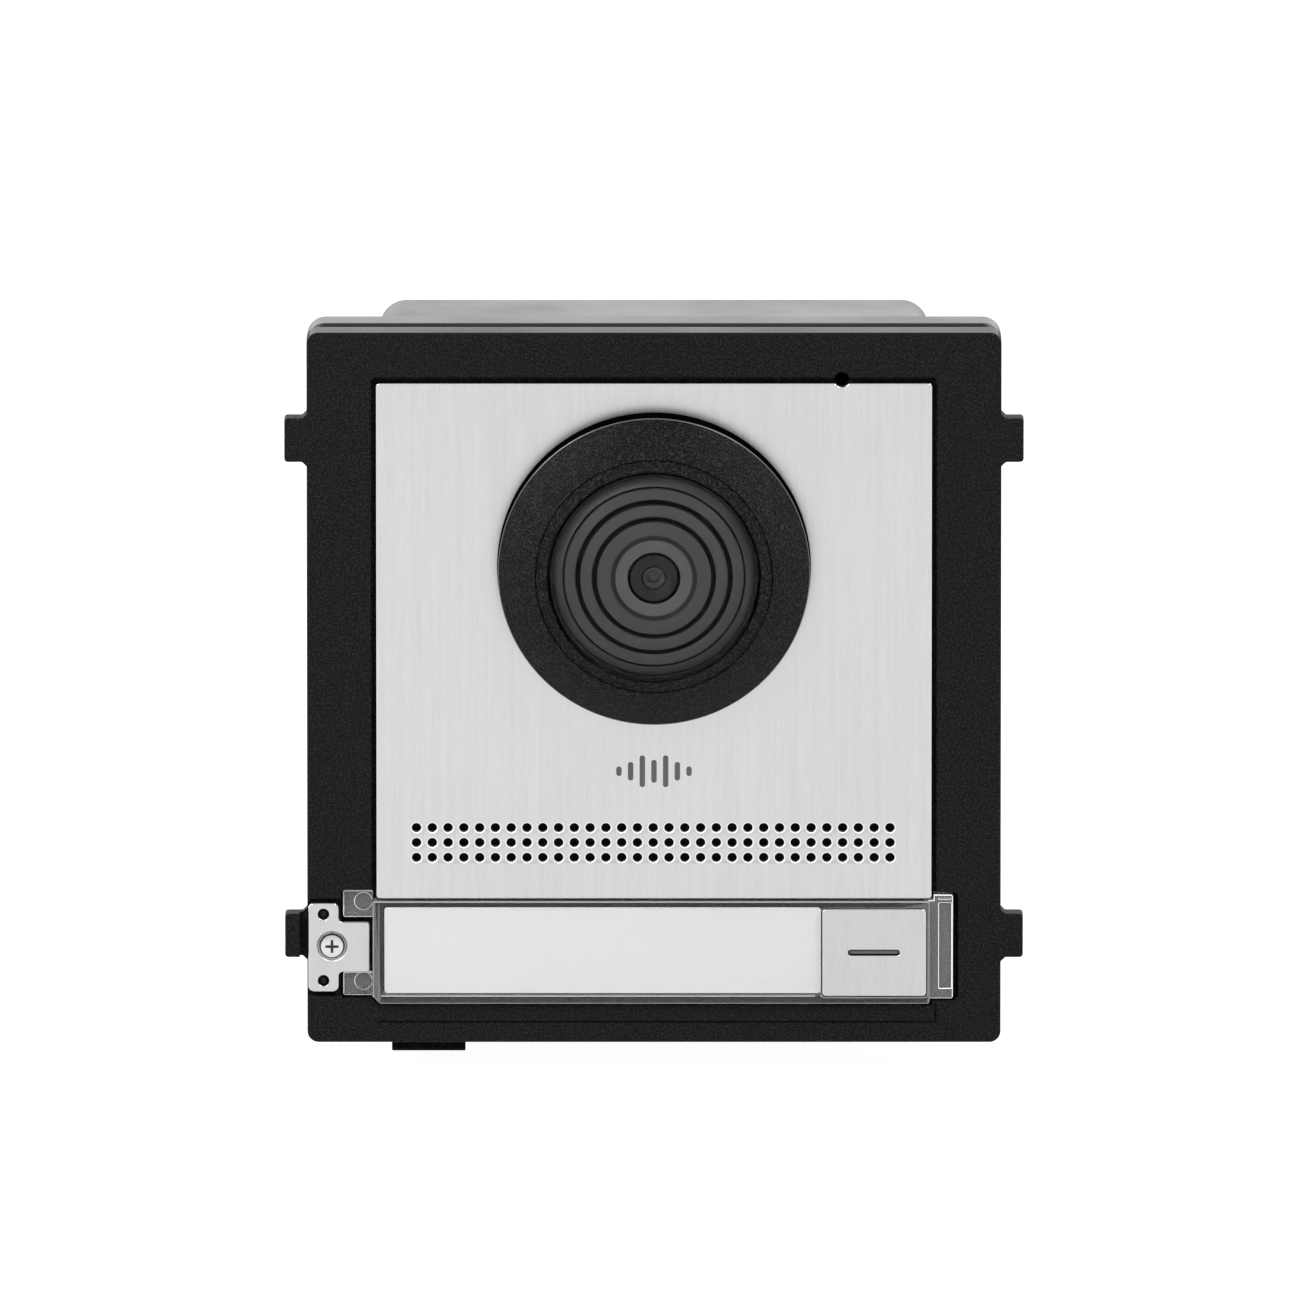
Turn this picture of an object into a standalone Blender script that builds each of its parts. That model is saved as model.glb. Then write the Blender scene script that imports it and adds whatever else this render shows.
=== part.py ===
"""Door intercom module: a framed front with camera, speaker, name card and call button over a
rear housing.

Sizes are in millimetres and every mesh is written in metres. +X is the viewer's right, +Y points
into the wall and +Z is up. The origin is the centre of the rear housing's back face.
"""

import math

import bmesh
import bpy
from mathutils import Vector

MM = 0.001
GAP = 0.3  # clearance between neighbouring pieces

# Frame and housing stack, front to back along Y
FRAME_WIDTH = 92.1
FRAME_HEIGHT = 96.0
FRAME_CORNER = 1.9
FRONT_Y = -32.5
FRAME_BACK_Y = FRONT_Y + 4.5
FLANGE_FRONT_Y = FRAME_BACK_Y + 2.3
FLANGE_BACK_Y = FLANGE_FRONT_Y + 5.3
REAR_WALL_Y = -2.0
LUG_REACH = 2.95
LUG_HEIGHT = 5.9
LUG_Z = 33.5
LUG_BACK_Y = FRONT_Y + 3.2
HOUSING_BOX_FRONT = (36.9, 47.0)  # half width and half height
HOUSING_BOX_BACK = (36.5, 46.4)
HOUSING_BOX_CORNER = 3.6
HOUSING_INSIDE = (-34.6, -43.4, 34.6, 44.6)

# Faceplate and what shows through it
PLATE_HALF_WIDTH = 36.85
PLATE_TOP = 41.2
PLATE_BOTTOM = -28.45
PLATE_FRONT_Y = FRONT_Y - 0.1
PLATE_BACK_Y = FRONT_Y + 1.0
PLATE_FLOOR_Y = PLATE_BACK_Y + GAP
HOLE_RADIUS = 0.61
HOLE_PITCH_X = 2.095
HOLE_PITCH_Z = 2.02
HOLE_COLUMNS = 31
HOLE_ROWS = 3
SPEAKER_X = -0.1
SPEAKER_Z = -20.88
MIC_X = 24.9
MIC_Z = 41.7
MIC_HOLE_RADIUS = 1.0
NOTCH_RADIUS = 1.0
SPEAKER_SLOT = (65.4, 6.7)
SPEAKER_FRONT_Y = FRAME_BACK_Y + GAP

# Camera, turned about a line along Y
CAMERA_X = 0.0
CAMERA_Z = 16.5
RING_RADIUS = 20.7
RING_SHOULDER_Y = FRONT_Y - 3.6
RING_CREST_Y = FRONT_Y - 7.4
RING_BORE = 15.7
BEZEL_BORE = 14.1
WINDOW_RADIUS = 13.8
WINDOW_APEX_Y = FRONT_Y - 11.0
WINDOW_RISE = 2.8
WINDOW_THICKNESS = 1.0
NECK_RADIUS = 19.0
NECK_BACK_Y = -25.0
SEAL_RADIUS = 13.4
SEAL_FRONT_Y = -39.4
BAFFLE_TERRACES = (  # outer radius, inner radius, face
    (13.1, 12.2, -39.3),
    (11.75, 10.4, -39.8),
    (9.75, 8.2, -40.3),
    (7.55, 5.45, -40.8),
    (5.1, 3.5, -41.1),
)
BAFFLE_GROOVE = 0.7
BAFFLE_BACK_Y = -33.0
BARREL_RADIUS = 3.1
BARREL_BORE = 1.65
BARREL_FRONT_Y = -40.7
BARREL_BACK_Y = -31.0

# Name card strip and call button
STRIP_LEFT = -37.35
STRIP_RIGHT = 36.6
STRIP_TOP = -28.75
STRIP_BOTTOM = -42.85
STRIP_FRONT_Y = FRONT_Y - 0.7
STRIP_BACK_Y = -30.0
STRIP_FLOOR_Y = STRIP_BACK_Y + GAP + 0.1
EAR_LEFT = -41.3
EARS_Z = ((-31.3, -27.65), (-41.9, -38.7))
EAR_PEG_X = -38.6
EAR_PEGS_Z = (-29.1, -39.9)
EAR_PEG_RADIUS = 1.18
LIP_RIGHT = 39.7
LIP_BOTTOM = -42.2
LIP_TOP = -28.0
CARD_LEFT = -35.8
CARD_RIGHT = 21.9
CARD_TOP = -29.9
CARD_BOTTOM = -41.55
BUTTON_X = 29.2
BUTTON_Z = -35.7
BUTTON_WIDTH = 13.75
BUTTON_HEIGHT = 11.8
BUTTON_FRONT_Y = STRIP_FRONT_Y + 0.1
BUTTON_BACK_Y = -31.0
BUTTON_WALL = 0.8
BUTTON_STEM = 2.0
BUTTON_STEM_TIP_Y = -26.0
BUTTON_SLOT = (6.9, 0.8)
PLUNGER_RADIUS = 1.7

# Retainer bracket at the strip's left end
BRACKET_FRONT_Y = FRONT_Y + 0.4
BRACKET_BACK_Y = BRACKET_FRONT_Y + 0.8
BRACKET_SCREW = (-42.77, -35.0)
BRACKET_PEGS = ((-43.9, -30.7), (-43.9, -39.7))
BRACKET_PEG_RADIUS = 0.45
BRACKET_SCREW_HOLE = 0.9
BRACKET_DIMPLE = 0.4

# Electronics
BOARD_FRONT_Y = -17.6
BOARD_BACK_Y = BOARD_FRONT_Y + 1.6
CONNECTOR_FRONT_Y = BOARD_BACK_Y + GAP
BOARD_SCREW_HOLE = 1.2
BOARD_SCREWS = tuple((x, z) for x in (-30.5, 30.5) for z in (-38.6, 40.5))
HOUSING_SCREW_SHAFT = 1.1
HOUSING_SCREW_HEAD = (2.3, 1.6)  # radius and height
HOUSING_SCREW_SINK = 2.2
HOUSING_SCREWS = tuple((x, z) for x in (-41.2, 41.2) for z in (-44.2, 44.2))
JACK = (-16.0, -28.0, 15.4, 13.2)
TERMINALS = (16.0, -27.5, 27.4, 8.4)
LINKS = {"left_link_socket": (-16.0, 30.0, 10.0, 6.0), "right_link_socket": (6.0, 30.0, 10.0, 6.0)}
TAMPER_X = 24.0
TAMPER_Z = 30.0
TAMPER_RADIUS = 2.2
TAMPER_TIP_Y = -0.4

# Bottom latch
LATCH_LEFT = -34.9
LATCH_RIGHT = -25.1
LATCH_TIP_Z = -51.8
LATCH_FRONT_Y = -19.9
LATCH_PIVOT = (-30.0, -4.2, -47.1)

FINISHES = {
    "textured_black": ((0.022, 0.022, 0.024), 0.55, 0.0),
    "smooth_black": ((0.030, 0.030, 0.032), 0.30, 0.0),
    "steel": ((0.66, 0.655, 0.645), 0.34, 1.0),
    "bright_steel": ((0.75, 0.75, 0.74), 0.22, 1.0),
    "clear_plastic": ((0.90, 0.91, 0.91), 0.06, 0.0),
    "glass": ((0.80, 0.82, 0.83), 0.03, 0.0),
    "white_card": ((0.86, 0.86, 0.84), 0.70, 0.0),
    "milky_plastic": ((0.80, 0.80, 0.78), 0.45, 0.0),
    "grey_plastic": ((0.10, 0.10, 0.105), 0.50, 0.0),
    "rubber": ((0.015, 0.015, 0.016), 0.85, 0.0),
    "circuit_board": ((0.02, 0.13, 0.07), 0.45, 0.0),
    "connector_plastic": ((0.03, 0.03, 0.033), 0.50, 0.0),
    "terminal_green": ((0.03, 0.28, 0.10), 0.45, 0.0),
    "chip_black": ((0.02, 0.02, 0.022), 0.60, 0.0),
    "cone_paper": ((0.05, 0.05, 0.05), 0.90, 0.0),
    "magnet_metal": ((0.45, 0.45, 0.46), 0.35, 1.0),
}


def clear_scene():
    for obj in list(bpy.data.objects):
        bpy.data.objects.remove(obj, do_unlink=True)


def finish_material(finish):
    """The Principled material of that name, made on first use."""
    known = bpy.data.materials.get(finish)
    if known:
        return known
    colour, roughness, metallic = FINISHES[finish]
    material = bpy.data.materials.new(finish)
    material.use_nodes = True
    shader = material.node_tree.nodes["Principled BSDF"]
    shader.inputs["Base Color"].default_value = (*colour, 1.0)
    shader.inputs["Roughness"].default_value = roughness
    shader.inputs["Metallic"].default_value = metallic
    return material


# Outlines: lists of (x, z) points


def rounded(corners, steps=4):
    """A closed outline from (x, z, radius) corners, each radius drawn as an arc."""
    outline = []
    for i, (x, z, radius) in enumerate(corners):
        if radius == 0:
            outline.append((x, z))
            continue
        here = Vector((x, z))
        to_last = (Vector(corners[i - 1][:2]) - here).normalized()
        to_next = (Vector(corners[(i + 1) % len(corners)][:2]) - here).normalized()
        half = to_last.angle(to_next) / 2
        centre = here + (to_last + to_next).normalized() * (radius / math.sin(half))
        start = here + to_last * (radius / math.tan(half)) - centre
        end = here + to_next * (radius / math.tan(half)) - centre
        first = math.atan2(start.y, start.x)
        sweep = (math.atan2(end.y, end.x) - first + math.pi) % (2 * math.pi) - math.pi
        for k in range(steps + 1):
            angle = first + sweep * k / steps
            outline.append((centre.x + radius * math.cos(angle), centre.y + radius * math.sin(angle)))
    return outline


def rectangle(left, bottom, right, top, corner=0.0, steps=4):
    corners = ((left, bottom), (right, bottom), (right, top), (left, top))
    return rounded([(x, z, corner) for x, z in corners], steps)


def centred(x, z, width, height, corner=0.0, steps=4):
    return rectangle(x - width / 2, z - height / 2, x + width / 2, z + height / 2, corner, steps)


def circle(x, z, radius, segments=24):
    turns = [2 * math.pi * k / segments for k in range(segments)]
    return [(x + radius * math.cos(t), z + radius * math.sin(t)) for t in turns]


# Solids


def add_object(name, bm, finish, origin=(0, 0, 0)):
    """Links the mesh as one object whose own origin is at that point."""
    bmesh.ops.recalc_face_normals(bm, faces=bm.faces)
    bmesh.ops.translate(bm, verts=bm.verts, vec=-Vector(origin))
    bmesh.ops.scale(bm, verts=bm.verts, vec=(MM, MM, MM))
    mesh = bpy.data.meshes.new(name)
    bm.to_mesh(mesh)
    bm.free()
    mesh.shade_smooth()
    mesh.set_sharp_from_angle(angle=math.radians(30))
    obj = bpy.data.objects.new(name, mesh)
    obj.location = Vector(origin) * MM
    if finish:
        mesh.materials.append(finish_material(finish))
    bpy.context.scene.collection.objects.link(obj)
    return obj


def prism_mesh(outline, y_front, y_back, holes=()):
    bm = bmesh.new()
    edges = []
    for loop in (outline, *holes):
        verts = [bm.verts.new((x, y_front, z)) for x, z in loop]
        edges += [bm.edges.new((verts[i - 1], verts[i])) for i in range(len(verts))]
    bmesh.ops.triangle_fill(bm, edges=edges, use_beauty=True)
    raised = bmesh.ops.extrude_face_region(bm, geom=list(bm.faces))
    moved = [item for item in raised["geom"] if isinstance(item, bmesh.types.BMVert)]
    bmesh.ops.translate(bm, verts=moved, vec=(0, y_back - y_front, 0))
    return bm


def prism(name, outline, y_front, y_back, finish=None, holes=(), origin=(0, 0, 0)):
    """An outline in XZ, with its holes, extruded along Y."""
    return add_object(name, prism_mesh(outline, y_front, y_back, holes), finish, origin)


def loft(name, front, y_front, back, y_back, finish=None):
    """A solid between two outlines with the same number of points."""
    bm = bmesh.new()
    rings = [[bm.verts.new((x, y, z)) for x, z in loop] for loop, y in ((front, y_front), (back, y_back))]
    for ring in rings:
        bm.faces.new(ring)
    for i in range(len(front)):
        bm.faces.new((rings[0][i - 1], rings[0][i], rings[1][i], rings[1][i - 1]))
    return add_object(name, bm, finish)


def lathe(name, profile, x, z, finish=None, segments=36, origin=(0, 0, 0)):
    """A closed (radius, y) profile turned about the line along Y through x, z.

    A profile that starts and ends on the line gives a solid, any other gives a ring.
    """
    bm = bmesh.new()
    solid = profile[0][0] == 0
    rings = []
    for radius, y in profile:
        if radius == 0:
            rings.append([bm.verts.new((x, y, z))] * segments)
            continue
        points = circle(x, z, radius, segments)
        rings.append([bm.verts.new((px, y, pz)) for px, pz in points])
    pairs = list(zip(rings, rings[1:]))
    if not solid:
        pairs.append((rings[-1], rings[0]))
    for near, far in pairs:
        for i in range(segments):
            corners = (near[i - 1], near[i], far[i], far[i - 1])
            bm.faces.new(list(dict.fromkeys(corners)))
    return add_object(name, bm, finish, origin)


def combine(target, other, operation):
    """Applies another solid to the target with a Boolean and keeps it only as a hidden guide."""
    other.hide_render = True
    other.display_type = "WIRE"
    modifier = target.modifiers.new(other.name, "BOOLEAN")
    modifier.solver = "EXACT"
    modifier.operation = operation
    modifier.object = other


def guide_name(target, verb):
    return f"{verb}_{target.name}_{len(target.modifiers)}"


def cut(target, outline, y_front, y_back):
    combine(target, prism(guide_name(target, "cut"), outline, y_front, y_back), "DIFFERENCE")


def join(target, outline, y_front, y_back):
    combine(target, prism(guide_name(target, "join"), outline, y_front, y_back), "UNION")


def screw(name, x, z, head_y, tip_y, head_radius, head_height, shaft_radius):
    """A round-headed screw along Y. The head grows from head_y away from the tip."""
    away = math.copysign(head_height, head_y - tip_y)
    profile = [(0, head_y + away), (head_radius * 0.8, head_y + away), (head_radius, head_y + away * 0.55)]
    profile += [(head_radius, head_y), (shaft_radius, head_y), (shaft_radius, tip_y), (0, tip_y)]
    return lathe(name, profile, x, z, "bright_steel", 16)


# Front frame and faceplate


def strip_recess_cuts(frame):
    """The deep recess that takes the clear cover, its ears, its lip and the call button."""
    front = FRONT_Y - 1
    for outline in (
        rectangle(STRIP_LEFT - GAP, STRIP_BOTTOM - GAP, STRIP_RIGHT + GAP, PLATE_BOTTOM + 0.01),
        rectangle(EAR_LEFT - GAP, EARS_Z[1][0] - GAP, STRIP_LEFT + 0.4, EARS_Z[0][1] + GAP, 0.5),
        rectangle(STRIP_RIGHT - GAP, LIP_BOTTOM - GAP, LIP_RIGHT + 0.7, LIP_TOP + 0.4, 0.8),
    ):
        cut(frame, outline, front, STRIP_FLOOR_Y)
    well = centred(BUTTON_X, BUTTON_Z, BUTTON_WIDTH - 1.3, BUTTON_HEIGHT - 1.2, 0.8)
    cut(frame, well, front, FRAME_BACK_Y + 1)
    for z in EAR_PEGS_Z:
        cut(frame, circle(EAR_PEG_X, z, EAR_PEG_RADIUS + GAP, 16), front, FRAME_BACK_Y - 0.8)


def bracket_pocket_cuts(frame):
    """The shallow pocket for the retainer bracket, with its two pegs and its screw hole."""
    floor = BRACKET_BACK_Y + GAP
    cut(frame, rectangle(-FRAME_WIDTH / 2 - 1, -41.8, -41.4, -28.5, 0.5), FRONT_Y - 1, floor)
    for x, z in BRACKET_PEGS:
        join(frame, circle(x, z, BRACKET_PEG_RADIUS, 10), BRACKET_FRONT_Y + 0.1, floor + 0.5)
    cut(frame, circle(*BRACKET_SCREW, 2.5, 20), FRONT_Y - 1, floor + 0.6)
    cut(frame, circle(*BRACKET_SCREW, BRACKET_SCREW_HOLE, 12), FRONT_Y - 1, FRAME_BACK_Y - 0.6)


def front_frame():
    half_width, half_height = FRAME_WIDTH / 2, FRAME_HEIGHT / 2
    body = rectangle(-half_width, -half_height, half_width, half_height, FRAME_CORNER, 5)
    frame = prism("front_frame", body, FRONT_Y, FRAME_BACK_Y, "textured_black")
    for side in (-1, 1):
        for z in (-LUG_Z, LUG_Z):
            middle = side * (half_width + LUG_REACH / 2 - 0.5)
            join(frame, centred(middle, z, LUG_REACH + 1.0, LUG_HEIGHT, 0.45, 2), FRONT_Y, LUG_BACK_Y)
    front = FRONT_Y - 1
    behind = FRAME_BACK_Y + 1
    recess_half_width = PLATE_HALF_WIDTH + 2 * GAP
    recess = rectangle(-recess_half_width, PLATE_BOTTOM, recess_half_width, PLATE_TOP + 0.7, 0.9)
    cut(frame, recess, front, PLATE_FLOOR_Y)
    cut(frame, circle(CAMERA_X, CAMERA_Z, NECK_RADIUS + GAP, 48), front, behind)
    cut(frame, centred(SPEAKER_X, SPEAKER_Z, *SPEAKER_SLOT, 1.0), front, behind)
    cut(frame, circle(MIC_X, MIC_Z, MIC_HOLE_RADIUS, 12), front, behind)
    hollow = rectangle(-39, -26.5, 39, 42.2, 2.0)
    cut(frame, hollow, PLATE_FLOOR_Y + 1.2, behind)
    strip_recess_cuts(frame)
    bracket_pocket_cuts(frame)
    for x, z in HOUSING_SCREWS:
        cut(frame, circle(x, z, HOUSING_SCREW_SHAFT + GAP, 12), FRAME_BACK_Y - 2.5, behind)


def plate_outline():
    """The faceplate's outline, with a notch in its top edge round the microphone hole."""
    outline = rectangle(-PLATE_HALF_WIDTH, PLATE_BOTTOM, PLATE_HALF_WIDTH, PLATE_TOP, 0.7, 3)
    drop = math.asin((MIC_Z - PLATE_TOP) / NOTCH_RADIUS)
    steps = 6
    notch = []
    for k in range(steps + 1):
        angle = -drop - (math.pi - 2 * drop) * k / steps
        notch.append((MIC_X + NOTCH_RADIUS * math.cos(angle), MIC_Z + NOTCH_RADIUS * math.sin(angle)))
    corner_points = 4
    top_right_end = 3 * corner_points
    return outline[:top_right_end] + notch + outline[top_right_end:]


def faceplate():
    holes = [circle(CAMERA_X, CAMERA_Z, RING_RADIUS + GAP, 48)]
    for column in range(HOLE_COLUMNS):
        for row in range(HOLE_ROWS):
            x = SPEAKER_X + (column - (HOLE_COLUMNS - 1) / 2) * HOLE_PITCH_X
            z = SPEAKER_Z + (row - (HOLE_ROWS - 1) / 2) * HOLE_PITCH_Z
            holes.append(circle(x, z, HOLE_RADIUS, 8))
    prism("faceplate", plate_outline(), PLATE_FRONT_Y, PLATE_BACK_Y, "steel", holes)


# Camera


def camera_ring():
    """The broad conical ring, with a neck that passes through the frame."""
    foot = PLATE_FLOOR_Y - GAP
    edge = 0.15
    neck_bore = 17.4
    profile = [(RING_RADIUS, foot), (RING_RADIUS, RING_SHOULDER_Y)]
    profile += [(RING_RADIUS - edge, RING_SHOULDER_Y - edge), (RING_BORE + edge, RING_CREST_Y)]
    profile += [(RING_BORE, RING_CREST_Y + 0.1), (RING_BORE, RING_CREST_Y + 1.9)]
    profile += [(neck_bore, RING_CREST_Y + 2.3), (neck_bore, NECK_BACK_Y)]
    profile += [(NECK_RADIUS, NECK_BACK_Y), (NECK_RADIUS, foot)]
    lathe("camera_ring", profile, CAMERA_X, CAMERA_Z, "textured_black", 48)


def camera_bezel():
    """The inner ring that holds the window, with a flange behind the camera ring's crest."""
    outer = RING_BORE - GAP
    front = RING_CREST_Y - 0.6
    step = RING_CREST_Y + 2.7
    flange = 17.1
    back = step + 1.2
    profile = [(BEZEL_BORE, front + 0.1), (BEZEL_BORE + 0.15, front), (outer, RING_CREST_Y - 0.1)]
    profile += [(outer, step), (flange, step), (flange, back), (BEZEL_BORE, back)]
    lathe("camera_bezel", profile, CAMERA_X, CAMERA_Z, "textured_black", 48)


def dome_y(apex_y, radius, at):
    """The height of a spherical cap of that radius, at a distance from its middle."""
    return apex_y + radius - math.sqrt(radius**2 - at**2)


def camera_window():
    """The clear domed window, of even thickness."""
    dome = (WINDOW_RADIUS**2 + WINDOW_RISE**2) / (2 * WINDOW_RISE)
    stations = [WINDOW_RADIUS * k / 5 for k in range(6)]
    front = [(r, dome_y(WINDOW_APEX_Y, dome, r)) for r in stations]
    back = [(r, dome_y(WINDOW_APEX_Y + WINDOW_THICKNESS, dome, r)) for r in reversed(stations)]
    lathe("camera_window", front + back, CAMERA_X, CAMERA_Z, "glass", 36)


def window_seal():
    back = SEAL_FRONT_Y + 1.2
    profile = [(SEAL_RADIUS, SEAL_FRONT_Y), (WINDOW_RADIUS, SEAL_FRONT_Y)]
    profile += [(WINDOW_RADIUS, back), (SEAL_RADIUS, back)]
    lathe("window_seal", profile, CAMERA_X, CAMERA_Z, "rubber", 36)


def lens_baffle():
    """The cup round the lens. Its face rises in terraces with a dark groove between each two."""
    rim = BAFFLE_TERRACES[0][0]
    bore = BAFFLE_TERRACES[-1][1]
    skirt = rim - 0.8
    profile = []
    for outer, inner, y in BAFFLE_TERRACES:
        if profile:
            profile.append((outer, profile[-1][1]))
        profile += [(outer, y), (inner, y), (inner, y + BAFFLE_GROOVE)]
    profile = profile[:-1] + [(bore, BARREL_FRONT_Y + 0.7), (skirt, SEAL_FRONT_Y + 1.1)]
    profile += [(skirt, BAFFLE_BACK_Y), (rim, BAFFLE_BACK_Y)]
    lathe("lens_baffle", profile, CAMERA_X, CAMERA_Z, "grey_plastic", 36)


def lens_parts():
    """The barrel with its front element, the holder, the sensor's board and the back cover."""
    seat = -37.0
    glass_front = -39.2
    glass_back = seat - 0.6
    glass_radius = BARREL_BORE - GAP
    barrel = [(0, seat), (BARREL_BORE, seat), (BARREL_BORE, BARREL_FRONT_Y)]
    barrel += [(BARREL_RADIUS, BARREL_FRONT_Y), (BARREL_RADIUS, BARREL_BACK_Y), (0, BARREL_BACK_Y)]
    lathe("lens_barrel", barrel, CAMERA_X, CAMERA_Z, "smooth_black", 24)
    element = [(0, glass_front), (0.8, glass_front + 0.15), (glass_radius, glass_front + 0.6)]
    element += [(glass_radius, glass_back), (0, glass_back)]
    lathe("lens_front_element", element, CAMERA_X, CAMERA_Z, "glass", 16)
    holder_front = BARREL_BACK_Y + GAP
    board_front = holder_front + 4.0
    holder = centred(CAMERA_X, CAMERA_Z, 12, 12, 1.0, 2)
    prism("lens_holder", holder, holder_front, board_front - GAP, "smooth_black")
    board = centred(CAMERA_X, CAMERA_Z, 22, 22, 1.0, 2)
    prism("image_sensor_board", board, board_front, board_front + 1.0, "circuit_board")
    cover_front = NECK_BACK_Y + GAP
    cover = circle(CAMERA_X, CAMERA_Z, NECK_RADIUS - 0.1, 36)
    prism("camera_back_cover", cover, cover_front, cover_front + 1.6, "smooth_black")


# Speaker and microphone


def speaker_parts():
    """The cloth behind the holes, then the gasket, basket, cone and magnet of the speaker."""
    slot_width, slot_height = SPEAKER_SLOT
    mesh = centred(SPEAKER_X, SPEAKER_Z, slot_width - 0.8, slot_height - 0.8, 0.8, 2)
    prism("speaker_mesh", mesh, PLATE_FLOOR_Y + 0.1, PLATE_FLOOR_Y + 0.5, "cone_paper")
    rim = 14.0
    front = SPEAKER_FRONT_Y
    gasket = [(12.4, front), (rim, front), (rim, front + 0.7), (12.4, front + 0.7)]
    lathe("speaker_gasket", gasket, 0, SPEAKER_Z, "rubber", 28)
    basket = [(13.0, front + 1.0), (rim, front + 1.0), (rim, front + 1.8), (10.2, front + 6.7)]
    basket += [(4.0, front + 6.7), (4.0, front + 5.9), (9.5, front + 5.9)]
    lathe("speaker_basket", basket, 0, SPEAKER_Z, "smooth_black", 28)
    cone = [(0, front + 3.8), (4.0, front + 4.4), (11.9, front + 1.1), (11.9, front + 1.6)]
    cone += [(3.8, front + 5.0), (0, front + 4.4)]
    lathe("speaker_cone", cone, 0, SPEAKER_Z, "cone_paper", 28)
    magnet_radius = 7.0
    magnet = [(0, front + 7.0), (magnet_radius, front + 7.0), (magnet_radius, front + 9.3), (0, front + 9.3)]
    lathe("speaker_magnet", magnet, 0, SPEAKER_Z, "magnet_metal", 28)


def microphone_parts():
    """The capsule behind its hole in the frame, in a rubber boot."""
    front = SPEAKER_FRONT_Y
    capsule_radius = 1.9
    boot_bore = capsule_radius + GAP
    boot_radius = boot_bore + 0.7
    boot = [(boot_bore, front), (boot_radius, front), (boot_radius, front + 1.7), (boot_bore, front + 1.7)]
    lathe("microphone_boot", boot, MIC_X, MIC_Z, "rubber", 20)
    capsule = [(0, front + 0.1), (capsule_radius, front + 0.1)]
    capsule += [(capsule_radius, front + 1.6), (0, front + 1.6)]
    lathe("microphone_capsule", capsule, MIC_X, MIC_Z, "magnet_metal", 20)


# Name strip and call button


def name_cover():
    """The clear cover: a shallow tray turned face out, with two ears, a lip and a button opening."""
    bar = rectangle(STRIP_LEFT, STRIP_BOTTOM, STRIP_RIGHT, STRIP_TOP, 0.3, 2)
    cover = prism("name_cover", bar, STRIP_FRONT_Y, STRIP_BACK_Y, "clear_plastic")
    ear_front = BRACKET_BACK_Y + GAP
    for low, high in EARS_Z:
        ear = rectangle(EAR_LEFT, low, STRIP_LEFT + 0.05, high, 0.3, 2)
        join(cover, ear, ear_front, STRIP_BACK_Y)
    inner, beside_plate = STRIP_RIGHT - 0.2, PLATE_HALF_WIDTH + GAP
    lip = [(inner, LIP_BOTTOM, 0), (LIP_RIGHT, LIP_BOTTOM, 0.3), (LIP_RIGHT, LIP_TOP, 0.3)]
    lip += [(beside_plate, LIP_TOP, 0), (beside_plate, STRIP_TOP, 0), (inner, STRIP_TOP, 0)]
    join(cover, rounded(lip, 2), FRONT_Y + 0.2, STRIP_BACK_Y)
    for z in EAR_PEGS_Z:
        peg = circle(EAR_PEG_X, z, EAR_PEG_RADIUS, 16)
        join(cover, peg, ear_front + 0.2, STRIP_FLOOR_Y + 0.5)
    tray = rectangle(CARD_LEFT - 0.3, CARD_BOTTOM - 0.3, CARD_RIGHT + 0.4, CARD_TOP + 0.3)
    cut(cover, tray, STRIP_FRONT_Y + 0.9, STRIP_BACK_Y + 1)
    opening = centred(BUTTON_X, BUTTON_Z, BUTTON_WIDTH + 2 * GAP, BUTTON_HEIGHT + 2 * GAP)
    cut(cover, opening, STRIP_FRONT_Y - 1, STRIP_BACK_Y + 1)


def name_card():
    """The card, and the light guide that lights it from behind."""
    card_front = STRIP_FRONT_Y + 1.2
    guide_front = card_front + 0.7
    card = rectangle(CARD_LEFT, CARD_BOTTOM, CARD_RIGHT, CARD_TOP)
    prism("name_card", card, card_front, guide_front - GAP, "white_card")
    margin = 0.2
    guide = rectangle(CARD_LEFT + margin, CARD_BOTTOM + margin, CARD_RIGHT - margin, CARD_TOP - margin)
    prism("card_light_guide", guide, guide_front, guide_front + 1.2, "milky_plastic")


def call_button():
    """The steel cap, the light strip behind its slot, and the carrier with the stem."""
    on_axis = (BUTTON_X, BUTTON_FRONT_Y, BUTTON_Z)
    outline = centred(BUTTON_X, BUTTON_Z, BUTTON_WIDTH, BUTTON_HEIGHT, 0.5, 3)
    cap = prism("call_button", outline, BUTTON_FRONT_Y, BUTTON_BACK_Y, "steel", origin=on_axis)
    inside = (BUTTON_WIDTH - 2 * BUTTON_WALL, BUTTON_HEIGHT - 2 * BUTTON_WALL)
    cut(cap, centred(BUTTON_X, BUTTON_Z, *inside), BUTTON_FRONT_Y + 1.0, BUTTON_BACK_Y + 1)
    slot = centred(BUTTON_X, BUTTON_Z, *BUTTON_SLOT, 0.39, 3)
    cut(cap, slot, BUTTON_FRONT_Y - 1, BUTTON_BACK_Y + 1)
    strip = centred(BUTTON_X, BUTTON_Z, 8.0, 1.8, 0.3, 2)
    strip_front = BUTTON_FRONT_Y + 1.3
    prism("button_light_strip", strip, strip_front, BUTTON_BACK_Y - 0.1, "milky_plastic", origin=on_axis)
    plate = centred(BUTTON_X, BUTTON_Z, BUTTON_WIDTH - 2.3, BUTTON_HEIGHT - 2.2, 0.5, 2)
    plate_front = BUTTON_BACK_Y + GAP
    carrier = prism("button_carrier", plate, plate_front, plate_front + 1.4, "smooth_black", origin=on_axis)
    join(carrier, circle(BUTTON_X, BUTTON_Z, BUTTON_STEM, 16), plate_front + 0.7, BUTTON_STEM_TIP_Y)


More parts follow.
